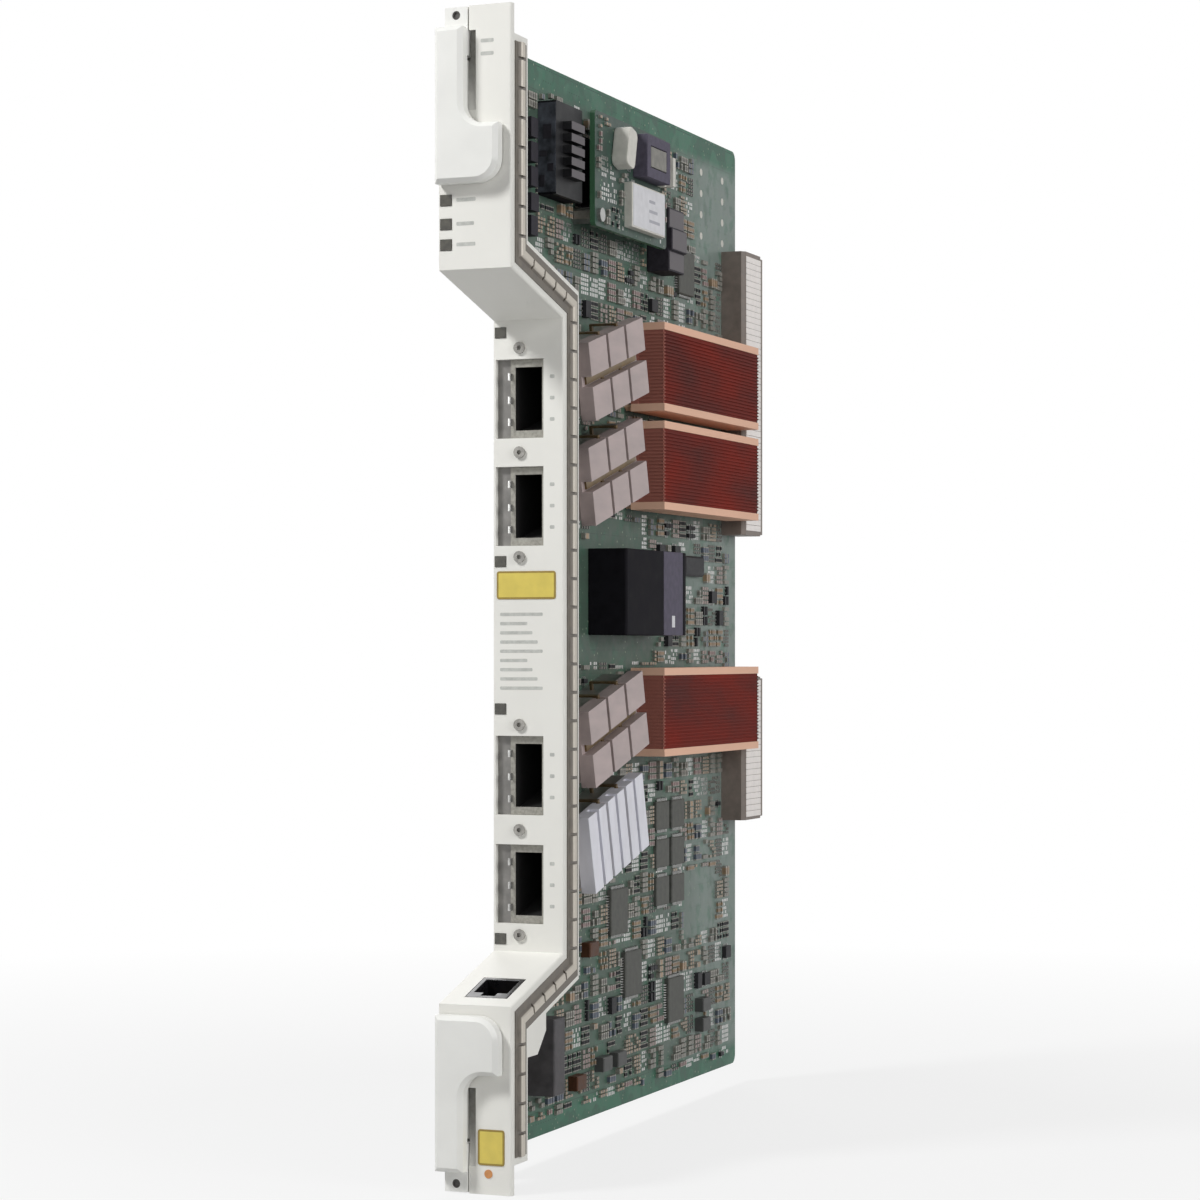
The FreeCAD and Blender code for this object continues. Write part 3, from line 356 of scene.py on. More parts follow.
@dataclass(frozen=True)
class SolderMask(Finish):
    """Green mask over copper pours, tracks and vias, with a pale laminate edge."""

    pour: float = 16.0
    pour_share: float = 0.55
    track_length: float = 7.0
    track_pitch: float = 0.9
    track_width: float = 0.16
    via_pitch: float = 2.6
    mask_bright: Colour = (66, 116, 94)
    mask_dark: Colour = (38, 74, 60)
    via_tint: Colour = (128, 144, 124)
    edge_tint: Colour = (168, 176, 140)
    packed_tint: Colour = (78, 90, 81)
    # Painted reflection: the pale grey-green that the crowded mask turns to towards the rear.
    rear_tint: Colour = (136, 145, 141)
    rear_start: float = 30.0
    rear_end: float = 75.0
    packed_least: float = 0.4
    packed_most: float = 0.75
    band_foot: float = 5.0
    band_top: float = 303.0
    band_fade: float = 4.0

    def tint(self, graph: Graph, drift: NodeSocket) -> NodeSocket:
        """Mask colour with the copper under it showing through, and a painted reflection that pales the
        crowded mask towards the rear on the component side.

        Args:
            graph: The material's graph.
            drift: Noise that the mask's thickness follows.

        Returns:
            The colour output.
        """
        mask = super().tint(graph, drift)
        pour = graph.ramp(graph.noise(self.pour, 2.0), 0.49, 0.52)
        mask = graph.blend(graph.sum("MULTIPLY", pour, self.pour_share), mask, linear(self.mask_bright))
        patches = graph.ramp(graph.noise(self.pour * 0.7, 1.0), 0.46, 0.5)
        upright = (math.pi / 2, 0.0, math.pi / 2)
        for turn, area in ((upright, patches), (ALONG_X, graph.sum("SUBTRACT", 1.0, patches))):
            tracks = graph.lines(self.track_length, self.track_pitch, self.track_width, turn)
            mask = graph.blend(graph.sum("MULTIPLY", tracks, area), mask, linear(self.mask_dark))
        # Painted reflection: the crowded mask pales towards the rear, on the component side only.
        rear = graph.span("Y", self.rear_start, self.rear_end)
        rear = graph.sum("MULTIPLY", rear, graph.span("X", -0.1, 0.1))
        crowd_with_sheen = graph.blend(rear, linear(self.packed_tint), linear(self.rear_tint))
        mask = graph.blend(self.packed(graph), mask, crowd_with_sheen)
        vias = graph.ramp(graph.cells(self.via_pitch, 0.85), 0.1, 0.14, 1.0, 0.0)
        mask = graph.blend(vias, mask, linear(self.via_tint))
        return graph.blend(graph.ramp(graph.facing("X"), 0.4, 0.6), linear(self.edge_tint), mask)

    def packed(self, graph: Graph) -> NodeSocket:
        """How much the mask is greyed by print and flux between crowded parts, less in the bare bands.

        Args:
            graph: The material's graph.

        Returns:
            The share, from 0 at the board's foot and top.
        """
        above = graph.span("Z", self.band_foot, self.band_foot + self.band_fade)
        below = graph.span("Z", self.band_top - self.band_fade, self.band_top, 1.0, 0.0)
        noise = graph.noise(self.pour * 0.3, 4.0)
        patches = graph.ramp(noise, 0.36, 0.5, self.packed_least, self.packed_most)
        return graph.sum("MULTIPLY", patches, graph.sum("MULTIPLY", above, below))


@dataclass(frozen=True)
class TwoTone(Finish):
    """A finish that turns into a second colour along an axis: a painted highlight on the spring strip's
    crests, and bare metal with painted shade that deepens in a rebate.
    """

    # The defaults give the pale painted highlight along the spring strip's crests.
    second: Colour = (206, 199, 187)
    letter: str = "X"
    first_end: float = 17.95
    second_end: float = 18.2

    def tint(self, graph: Graph, drift: NodeSocket) -> NodeSocket:
        """The first colour at one end of the span and the second at the other.

        Args:
            graph: The material's graph.
            drift: Noise that the colour follows.

        Returns:
            The colour output.
        """
        first = super().tint(graph, drift)
        second = graph.blend(drift, linear(self.second, 0.92), linear(self.second))
        return graph.blend(graph.span(self.letter, self.first_end, self.second_end), first, second)


@dataclass(frozen=True)
class FinnedCopper(Finish):
    """Bare copper: bright side plates, and fins with painted light on their front ends and painted shade
    along their rear edge.
    """

    middle: float = 0.0
    half: float = 13.6
    front: float = 0.0
    rear: float = 0.0
    plate: float = 2.3
    blur: float = 0.05
    cut_edge: float = 0.7
    dark_edge: float = 1.4
    plate_tint: Colour = (246, 200, 174)
    # Painted light on the fins' front ends.
    cut_tint: Colour = (172, 112, 100)
    # Painted shade along the fins' rear edge.
    edge_tint: Colour = (56, 24, 20)

    def tint(self, graph: Graph, drift: NodeSocket) -> NodeSocket:
        """Dark fins between bright plates, by the height on the card.

        Args:
            graph: The material's graph.
            drift: Noise that the tarnish follows.

        Returns:
            The colour output.
        """
        fins = super().tint(graph, drift)
        # Painted shade: the fins darken towards their rear edge.
        edge = graph.span("Y", self.rear - self.dark_edge, self.rear - self.dark_edge / 2)
        fins = graph.blend(edge, fins, linear(self.edge_tint))
        # Painted light: the fins' front ends are lightened.
        cut = graph.span("Y", self.front + self.cut_edge, self.front + self.cut_edge * 0.9)
        fins = graph.blend(cut, fins, linear(self.cut_tint))
        away = graph.sum("ABSOLUTE", graph.sum("SUBTRACT", graph.axis("Z"), self.middle * MM))
        reach = self.half - self.plate
        plates = graph.ramp(away, (reach - self.blur) * MM, (reach + self.blur) * MM)
        bright = graph.blend(drift, linear(self.plate_tint, 0.94), linear(self.plate_tint))
        return graph.blend(plates, fins, bright)


class Look(Enum):
    """The card's finishes, those of the record's slots first."""

    PANEL_PAINT = Finish((234, 233, 227), 0.55, 0.0, 0.012, 30, 0.5, 0.02)
    LEVER_PLASTIC = Finish((236, 236, 232), 0.42, 0.0, 0.012, 12, 0.8, 0.01)
    # Its crests turn pale as a painted highlight.
    SPRING_STRIP = TwoTone((104, 98, 90), 0.5, 0.2, 0.1, 3, 0.3, 0.01)
    BRIGHT_STEEL = Finish((170, 170, 168), 0.35, 0.9, 0.06, 1, 0.15, 0.01)
    LIGHT_WINDOW = Finish((70, 68, 60), 0.2, 0.0, 0.15, 1.5, 0.6, 0.01, coat=0.6)
    BOARD_GREEN = SolderMask((50, 92, 74), 0.5, 0.0, 0.14, 3, 0.25, 0.02, coat=0.05, shine=0.25)
    RAISED_GREEN = SolderMask(
        (34, 72, 58), 0.45, 0.0, 0.16, 3, 0.25, 0.02, coat=0.05, shine=0.25, mask_bright=(48, 92, 76),
        # The raised board's pale rear colour is a painted reflection too.
        mask_dark=(24, 52, 44), edge_tint=(72, 112, 84), packed_tint=(62, 76, 70), rear_tint=(66, 80, 74),
    )
    CAGE_SHEET = Finish((165, 162, 158), 0.38, 0.85, 0.08, 4, 0.3, 0.01, (1.0, 0.15, 1.0))
    SINK_GREY = Finish((174, 159, 157), 0.5, 0.25, 0.06, 5, 0.35, 0.02, (1.0, 0.3, 1.0))
    SINK_PALE = Finish((226, 226, 234), 0.45, 0.1, 0.03, 5, 0.35, 0.02, (1.0, 1.0, 0.3))
    # Clip steel, darkened as painted shade of the deep lane that it lies in.
    CLIP_SPRING = Finish((116, 98, 70), 0.4, 0.7, 0.1, 3, 0.3, 0.01)
    COPPER = Finish((106, 36, 28), 0.6, 0.1, 0.22, 8, 0.3, 0.01, (1.0, 0.2, 0.6), shine=0.05)
    CHIP_EPOXY = Finish((40, 40, 43), 0.6, 0.0, 0.12, 2, 0.12, 0.015, shine=0.25)
    MODULE_BLACK = Finish((26, 25, 29), 0.7, 0.0, 0.15, 4, 0.4, 0.02, shine=0.05)
    BLACK_ANODISED = Finish((34, 34, 36), 0.5, 0.2, 0.15, 4, 0.25, 0.01, shine=0.2)
    FERRITE_GREY = Finish((88, 84, 98), 0.65, 0.0, 0.1, 2, 0.3, 0.03, shine=0.15)
    # Brown-grey of the connector plastic as seen in shade, a painted shade.
    CONNECTOR_SHELL = Finish((124, 114, 107), 0.55, 0.0, 0.07, 3, 0.3, 0.02)
    JACK_BLACK = Finish((20, 19, 21), 0.3, 0.0, 0.2, 3, 0.5, 0.01)
    PALE_PLASTIC = Finish((212, 210, 202), 0.5, 0.0, 0.04, 3, 0.4, 0.02)
    TANTALUM_AMBER = TwoTone(
        (76, 48, 32), 0.5, 0.0, 0.1, 2, 0.3, 0.01, shine=0.2, second=(86, 87, 86), letter="Y",
        first_end=-25.5, second_end=-23.5,
    )
    CHOKE_DARK = Finish((46, 44, 50), 0.65, 0.0, 0.15, 1.5, 0.2, 0.04, shine=0.15)
    SOLDER = Finish((186, 186, 184), 0.3, 0.85, 0.06, 0.8, 0.2, 0.01)
    GOLD = Finish((206, 168, 92), 0.28, 0.9, 0.05, 1, 0.2, 0.005)
    TIN_DULL = Finish((150, 148, 140), 0.5, 0.3, 0.1, 0.8, 0.2, 0.01)
    FILTER_GREY = Finish((84, 82, 84), 0.6, 0.0, 0.12, 3, 0.3, 0.02, shine=0.2)
    STICKER_YELLOW = Finish((218, 198, 96), 0.4, 0.0, 0.03, 4, 0.6, 0.01)
    DOT_ORANGE = Finish((204, 142, 88), 0.45, 0.0, 0.04, 1, 0.4, 0.01)
    PRINT_GREY = Finish((188, 189, 184), 0.6, 0.0, 0.06, 1.2, 0.3, 0.005)
    # Painted shade: near-black for the sheet inside each cage.
    LINER_BLACK = Finish((9, 8, 8), 0.8, 0.0, 0.2, 4, 0.6, 0.02)
    CERAMIC_TAN = Finish((150, 128, 104), 0.45, 0.0, 0.12, 2.5, 0.2, 0.01)
    CERAMIC_GREY = Finish((118, 116, 110), 0.5, 0.0, 0.14, 2.5, 0.2, 0.01)
    # Near-white of the same plastic on the connectors' tops, a painted light.
    CONNECTOR_TOP = Finish((250, 244, 240), 0.5, 0.0, 0.02, 3, 0.3, 0.02)
    CHIP_GREY = Finish((84, 85, 81), 0.6, 0.0, 0.12, 2, 0.12, 0.015, shine=0.25)
    BRICK_SLATE = Finish((66, 69, 76), 0.6, 0.0, 0.4, 3, 0.4, 0.02, shine=0.15)
    # Painted light: grey for the lit fin tips and faces of dark parts.
    FIN_WORN = Finish((80, 75, 79), 0.5, 0.2, 0.1, 1.5, 0.3, 0.01)
    # Bare metal with painted shade: dark where the rebate is deep, pale where it runs out.
    BARE_METAL = TwoTone(
        (142, 141, 136), 0.6, 0.0, 0.08, 2, 0.2, 0.01, shine=0.2, second=(222, 221, 216), letter="Y",
        first_end=-121.9, second_end=-122.7,
    )
    GASKET_GREY = Finish((128, 126, 123), 0.45, 0.3, 0.1, 4, 0.3, 0.01)
    STICKER_RIM = Finish((150, 128, 58), 0.45, 0.0, 0.05, 2, 0.5, 0.005)
    SCREW_DARK = Finish((76, 74, 72), 0.45, 0.6, 0.1, 1, 0.15, 0.01)
    SCREW_GREY = Finish((150, 148, 143), 0.5, 0.3, 0.1, 1, 0.15, 0.01)
    SLATE = Finish((80, 88, 100), 0.5, 0.0, 0.14, 2.5, 0.2, 0.01)
    # Dark slate for parts that stand partly for painted shade behind the upper panel.
    SLATE_DARK = Finish((58, 62, 70), 0.55, 0.0, 0.2, 2.5, 0.2, 0.01, shine=0.2)
    ROSE = Finish((142, 122, 120), 0.5, 0.0, 0.12, 2.5, 0.2, 0.01)
    LABEL_WHITE = Finish((222, 222, 226), 0.6, 0.0, 0.03, 3, 0.4, 0.005)
    INK_GREY = Finish((176, 176, 184), 0.6, 0.0, 0.04, 2, 0.4, 0.005)

    def material(self) -> Material:
        """The finish's material."""
        return self.value.material(self.name.lower())


OWN_LOOKS = {
    "panel_screws": Look.SCREW_GREY,
    "line_filter": Look.FILTER_GREY,
    "memory_chips": Look.CHIP_GREY,
    "logic_chips": Look.CHIP_GREY,
    "mezzanine_board": Look.RAISED_GREEN,
    "transformer_bobbin": Look.CERAMIC_GREY,
    "upper_port_gasket": Look.GASKET_GREY,
    "lower_port_gasket": Look.GASKET_GREY,
}


class Side(Enum):
    """The board's two faces, by the direction that they look along X."""

    COMPONENT = 1
    SOLDER = -1


class Place(NamedTuple):
    """Where a copy goes, its turn about X, and whether it is turned to the solder side."""

    where: Vector
    turn: float = 0.0
    flipped: bool = False


@dataclass
class Site:
    """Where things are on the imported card."""

    nodes: dict[str, Object]
    corner: Vector
    front: float
    back: float

    @classmethod
    def of(cls, frame: dict) -> "Site":
        low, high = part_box("circuit_board")
        return cls(frame["nodes"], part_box("faceplate")[0], high.x, low.x)

    def spot(self, x: float, y: float, z: float) -> Vector:
        """A point from the panel's lower left front corner."""
        return self.corner + Vector((x, y, z)) * MM

    def on_board(self, y: float, z: float) -> Vector:
        """A point on the board's component face, from the panel's corner."""
        return Vector((self.front, *self.spot(0.0, y, z).yz))

    def before(self, depth: float) -> Object:
        """A cutter for all that stands before a depth behind the panel's front."""
        return start_cube("cutter", self.spot(-5.0, -10.0, -5.0), self.spot(30.0, depth, 330.0))


def deselect() -> None:
    """Leaves object mode with nothing selected."""
    bpy.ops.object.select_all(action="DESELECT")


def activate(piece: Object) -> None:
    """Makes one piece the only selected and active one."""
    deselect()
    bpy.context.view_layer.objects.active = piece
    piece.select_set(True)


@contextmanager
def editing(piece: Object) -> Iterator[None]:
    """Edit mode on one piece, with nothing selected at first."""
    activate(piece)
    bpy.ops.object.mode_set(mode="EDIT")
    bpy.ops.mesh.select_mode(type="FACE")
    bpy.ops.mesh.select_all(action="DESELECT")
    yield
    bpy.ops.object.mode_set(mode="OBJECT")


def pick_faces(piece: Object, test: Callable[[Vector, Vector], bool]) -> None:
    """Selects faces in edit mode.

    Args:
        piece: The piece in edit mode.
        test: Takes a face's middle and normal, and says whether to select it.
    """
    bpy.ops.mesh.select_mode(type="FACE")
    mesh = bmesh.from_edit_mesh(piece.data)
    for face in mesh.faces:
        face.select_set(test(face.calc_center_median(), face.normal))
    bmesh.update_edit_mesh(piece.data)


def pick_facing(piece: Object, way: Vector) -> None:
    """Selects the faces that look one way, in edit mode."""
    pick_faces(piece, lambda middle, normal: normal.dot(way) > SQUARE_ON)


def pick_edges(piece: Object, test: Callable[[Vector, Vector], bool]) -> None:
    """Selects edges in edit mode.

    Args:
        piece: The piece in edit mode.
        test: Takes an edge's middle and direction, and says whether to select it.
    """
    bpy.ops.mesh.select_mode(type="EDGE")
    mesh = bmesh.from_edit_mesh(piece.data)
    for edge in mesh.edges:
        start, end = (vertex.co for vertex in edge.verts)
        edge.select_set(test((start + end) / 2, (end - start).normalized()))
    bmesh.update_edit_mesh(piece.data)


def extrude(step: Vector) -> None:
    """Extrudes the selected faces by a step."""
    bpy.ops.mesh.extrude_region_move(TRANSFORM_OT_translate={"value": step})


def cut_across(depth: float) -> None:
    """Cuts the whole piece in edit mode by a plane across Y."""
    bpy.ops.mesh.select_all(action="SELECT")
    bpy.ops.mesh.bisect(plane_co=(0.0, depth, 0.0), plane_no=TO_REAR)


def taper(piece: Object, way: Vector, squeeze: Triple) -> None:
    """Narrows the end of a piece that looks one way.

    Args:
        piece: The piece.
        way: The end's direction.
        squeeze: Factor on each axis.
    """
    with editing(piece):
        pick_facing(piece, way)
        bpy.ops.transform.resize(value=squeeze)


def dish(piece: Object, way: Vector, rim: float, sink: float) -> None:
    """Sinks the middle of a face that looks one way.

    Args:
        piece: The piece.
        way: The face's direction.
        rim: Width of the rim that stays.
        sink: How deep the middle goes.
    """
    with editing(piece):
        pick_facing(piece, way)
        bpy.ops.mesh.inset(thickness=rim * MM)
        extrude(way * -sink * MM)


def settle(piece: Object, name: str) -> Object:
    """Names a piece and puts its place in its mesh.

    Args:
        piece: The piece.
        name: Its name.

    Returns:
        The same piece.
    """
    activate(piece)
    piece.name = name
    piece.data.name = name
    bpy.ops.object.transform_apply(location=True, rotation=True, scale=True)
    return piece


def start_cube(name: str, low: Vector, high: Vector) -> Object:
    """Adds a cube that fills a box, with its place in its mesh.

    Args:
        name: The piece's name.
        low: Lowest corner.
        high: Highest corner.

    Returns:
        The new piece.
    """
    deselect()
    low, high = Vector(low), Vector(high)
    bpy.ops.mesh.primitive_cube_add(size=1.0, location=(low + high) / 2, scale=high - low)
    return settle(bpy.context.object, name)


def start_disc(name: str, middle: Vector, radius: float, depth: float, sides: int, turn: Triple) -> Object:
    """Adds a short cylinder, with its place in its mesh.

    Args:
        name: The piece's name.
        middle: Its centre.
        radius: Its radius.
        depth: Its length.
        sides: Number of sides.
        turn: Rotation from upright, in radians.

    Returns:
        The new piece.
    """
    deselect()
    bpy.ops.mesh.primitive_cylinder_add(
        vertices=sides, radius=radius * MM, depth=depth * MM, location=middle, rotation=turn
    )
    return settle(bpy.context.object, name)


def modify(piece: Object, kind: str, **settings: object) -> None:
    """Adds a modifier to a piece and applies it.

    Args:
        piece: The piece.
        kind: The modifier's type.
        settings: A value for each of its settings.
    """
    activate(piece)
    modifier = piece.modifiers.new(kind.lower(), kind)
    for name, value in settings.items():
        setattr(modifier, name, value)
    bpy.ops.object.modifier_apply(modifier=modifier.name)


def round_edges(piece: Object, width: float, segments: int = 2) -> None:
    """Rounds every sharp edge and smooths the shading.

    Args:
        piece: The piece.
        width: Width of the rounding.
        segments: Faces across it.
    """
    modify(piece, "BEVEL", width=width * MM, segments=segments, limit_method="ANGLE", angle_limit=CREASE)
    bpy.ops.object.shade_smooth_by_angle(angle=CREASE)
    modify(piece, "WEIGHTED_NORMAL", keep_sharp=True)


def subtract(piece: Object, cutter: Object) -> None:
    """Cuts one piece out of another and removes the cutter, whose finish stays on the cut."""
    modify(piece, "BOOLEAN", object=cutter, operation="DIFFERENCE", solver="EXACT", material_mode="TRANSFER")
    bpy.data.objects.remove(cutter)


def join(name: str, pieces: list[Object]) -> Object:
    """Joins pieces into one with its place in its mesh.

    Args:
        name: The joined piece's name.
        pieces: What to join.

    Returns:
        The joined piece.
    """
    activate(pieces[0])
    for piece in pieces:
        piece.select_set(True)
    if len(pieces) > 1:
        bpy.ops.object.join()
    return settle(pieces[0], name)


def copies(master: Object, name: str, places: list[Place]) -> Object:
    """Copies a modelled piece to many places as one piece, and removes the model.

    Args:
        master: The piece, modelled at the origin.
        name: Name of the finished piece.
        places: Where the copies go.

    Returns:
        The finished piece.
    """
    made = []
    for place in places:
        copy = master.copy()
        copy.data = master.data.copy()
        copy.location = place.where
        copy.rotation_euler = (place.turn, 0.0, math.pi if place.flipped else 0.0)
        bpy.context.scene.collection.objects.link(copy)
        made.append(copy)
    bpy.data.objects.remove(master)
    return join(name, made)


def row(count: int, pitch: float) -> list[float]:
    """Evenly spaced places about zero."""
    return [(i - (count - 1) / 2) * pitch for i in range(count)]


def coat(piece: Object, *looks: Look) -> None:
    """Gives a piece its finishes in place of any before, the first one all over."""
    piece.data.materials.clear()
    for look in looks:
        piece.data.materials.append(look.material())


def coat_selected(piece: Object) -> None:
    """Gives the faces selected in edit mode the piece's second finish."""
    piece.active_material_index = 1
    bpy.ops.object.material_slot_assign()


def dress(piece: Object, look: Look, slot: str, body: str = "card") -> None:
    """Gives a new piece its finish and the body that it rides on.

    Args:
        piece: The finished mesh.
        look: Its finish, set if it has no material yet.
        slot: Not used.
        body: The body's name.
    """
    if not any(piece.data.materials):
        coat(piece, look)
    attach(piece, body)
    log.info("%s: %d faces", piece.name, len(piece.data.polygons))


@dataclass
class Dressing:
    """What is modelled on one sub-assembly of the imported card."""

    site: Site


@dataclass
class SoftenedNode(Dressing):
    """A solid shown by a copy of its mesh whose sharp edges are rounded as the real ones are."""

    node: str
    edge: float
    slot: str
    body: str = "card"
    segments: int = 2
    join_flats: bool = True

    def clean(self) -> Object:
        """Copies the node's mesh, merges its loose triangles and gives it its finish.

        Returns:
            The copy, with its edges still sharp.
        """
        piece = bpy.data.objects.new(f"{self.node}_soft", self.site.nodes[self.node].data.copy())
        bpy.context.scene.collection.objects.link(piece)
        with editing(piece):
            bpy.ops.mesh.customdata_custom_splitnormals_clear()
            bpy.ops.mesh.select_all(action="SELECT")
            bpy.ops.mesh.remove_doubles(threshold=MERGE)
            if self.join_flats:
                bpy.ops.mesh.dissolve_limited(angle_limit=FLAT)
        coat(piece, Look[self.slot.upper()])
        return piece

    def shape(self, piece: Object) -> None:
        """Changes nothing on a plain node."""

    def build(self) -> None:
        """Copies, cleans, shapes and rounds the node's mesh."""
        piece = self.clean()
        self.shape(piece)
        round_edges(piece, self.edge, self.segments)
        dress(piece, Look[self.slot.upper()], self.slot, self.body)
        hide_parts(self.node)


@dataclass
class SoftenedPanel(SoftenedNode):
    """The faceplate, with a bare metal rebate beside each lever's stem, painted darker where it is deep as
    painted shade.
    """

    left: float = 8.5
    right: float = 10.9
    ahead: float = 1.0
    deep: float = 1.4
    shallow: float = 0.1
    ends: tuple[Pair, ...] = ((314.6, 293.0), (28.6, 7.5))

    def shape(self, piece: Object) -> None:
        """Cuts both rebates, each deep at its upper end and running out downwards.

        Args:
            piece: The panel's copy.
        """
        for top, foot in self.ends:
            low = self.site.spot(self.left, -self.ahead, foot)
            cutter = start_cube("rebate_cutter", low, self.site.spot(self.right, self.deep, top))
            # The cut faces take the bare metal with painted shade that deepens with the rebate.
            coat(cutter, Look.BARE_METAL)
            run_out = self.site.spot(0.0, self.deep, foot)
            near = self.shallow * MM
            with editing(cutter):
                pick_edges(
                    cutter,
                    lambda middle, way: abs(way.x) > SQUARE_ON and (middle - run_out).yz.length < near,
                )
                bpy.ops.transform.translate(value=(0.0, (self.shallow - self.deep) * MM, 0.0))
            subtract(piece, cutter)


@dataclass
class TrimmedCage(SoftenedNode):
    """A transceiver cage whose mouth is trimmed upright behind the bay's frame."""

    mouth: float = 38.7

    def shape(self, piece: Object) -> None:
        """Cuts off what stands before the mouth of the cage's copy."""
        subtract(piece, self.site.before(self.mouth))


@dataclass
class FaceplateDressing(Dressing):
    """Plain stickers, a plain dot and plain print fields on the faceplate."""

    recess: float = 37.0
    corner: float = 0.7
    sticker_depth: float = 0.15
    sticker_rim: float = 0.55
    recess_sticker: Box = (1.0, 19.0, 161.3, 169.2)
    lower_sticker: Box = (11.6, 19.4, 7.9, 17.6)
    dot_left: float = 14.7
    dot_height: float = 5.6
    dot_radius: float = 1.2
    dot_edge: float = 0.03
    print_depth: float = 0.04
    line_pitch: float = 2.6
    line_step: float = 1.56

    def plate(self, name: str, face: float, box: Box, depth: float) -> Object:
        """Models a thin plate with round corners on a face of the panel.

        Args:
            name: The plate's name.
            face: The face's depth behind the panel's front.
            box: Its left, right, bottom and top.
            depth: Its thickness.

        Returns:
            The plate.
        """
        left, right, bottom, top = box
        low = self.site.spot(left, face - depth, bottom)
        plate = start_cube(name, low, self.site.spot(right, face, top))
        with editing(plate):
            pick_edges(plate, lambda middle, way: abs(way.y) > SQUARE_ON)
            bpy.ops.mesh.bevel(offset=min(self.corner, (top - bottom) / 4) * MM, segments=3)
        return plate

    def sticker(self, face: float, box: Box) -> Object:
        """Models a plain sticker with a darker rim.

        Args:
            face: The face's depth behind the panel's front.
            box: Its left, right, bottom and top.

        Returns:
            The sticker.
        """
        sticker = self.plate("sticker", face, box, self.sticker_depth)
        coat(sticker, Look.STICKER_RIM, Look.STICKER_YELLOW)
        with editing(sticker):
            pick_facing(sticker, TO_FRONT)
            bpy.ops.mesh.inset(thickness=self.sticker_rim * MM)
            coat_selected(sticker)
        return sticker

    def print_fields(self) -> Iterator[tuple[float, Box]]:
        """The lines of print, and the marks beside the windows, over the upper lever and beside the bays.

        Returns:
            Each field's depth behind the panel's front, and its left, right, bottom and top.
        """
        for line in range(9):
            bottom = 156.6 - self.line_pitch * line
            yield self.recess, (2.0, 15.0 - self.line_step * (line * 3 % 4), bottom, bottom + 0.9)
        for height in (268.9, 262.4, 256.8):
            yield 0.0, (5.2, 9.0 + height % 3, height - 0.5, height + 0.5)
        for height in (307.5, 311.0):
            yield 0.0, (12.4, 16.2, height, height + 1.0)
        for port in PORT_HEIGHTS:
            for rise in (-6.0, 0.0, 6.0):
                yield self.recess, (17.2, 18.6, port + rise - 0.5, port + rise + 0.5)

    def build(self) -> None:
        """Models and dresses the stickers, the dot and the print."""
        stickers = [self.sticker(self.recess, self.recess_sticker), self.sticker(0.0, self.lower_sticker)]
        dress(join("yellow_stickers", stickers), Look.STICKER_YELLOW, "panel_paint")
        middle = self.site.spot(self.dot_left, -self.sticker_depth / 2, self.dot_height)
        dot = start_disc("orange_dot", middle, self.dot_radius, self.sticker_depth, 24, ALONG_Y)
        round_edges(dot, self.dot_edge, 1)
        dress(dot, Look.DOT_ORANGE, "panel_paint")
        bars = [self.plate("bar", face, box, self.print_depth) for face, box in self.print_fields()]
        dress(join("print_bars", bars), Look.PRINT_GREY, "panel_paint")


@dataclass
class NotchTabs(Dressing):
    """Thin tab behind the foot of each lever's notch, which closes the gap over the lever's root."""

    left: float = 1.8
    right: float = 9.8
    front: float = 1.8
    thick: float = 0.3
    edge: float = 0.08
    spans: tuple[Pair, ...] = ((13.65, 16.5), (304.8, 307.65))

    def build(self) -> None:
        """Models both tabs with soft edges, flat on the back of the panel's wall."""
        tabs = []
        for foot, top in self.spans:
            low = self.site.spot(self.left, self.front, foot)
            tab = start_cube("tab", low, self.site.spot(self.right, self.front + self.thick, top))
            round_edges(tab, self.edge, 1)
            tabs.append(tab)
        # The tabs, deep in the gap, take the dark end of that bare metal with painted shade.
        dress(join("notch_tabs", tabs), Look.BARE_METAL, "panel_paint")


@dataclass
class LeverRivet(Dressing):
    """Dark rivet in the eye of a lever's claw."""

    body: str
    height: float
    left: float = 5.25
    depth: float = 1.2
    radius: float = 1.19
    length: float = 2.6
    rim: float = 0.35
    sink: float = 0.3

    def build(self) -> None:
        """Models the rivet with a slight dish in its head."""
        middle = self.site.spot(self.left, self.depth, self.height)
        rivet = start_disc(f"{self.body}_rivet", middle, self.radius, self.length, 24, ALONG_Y)
        dish(rivet, TO_FRONT, self.rim, self.sink)
        dress(rivet, Look.SCREW_DARK, "bright_steel", self.body)


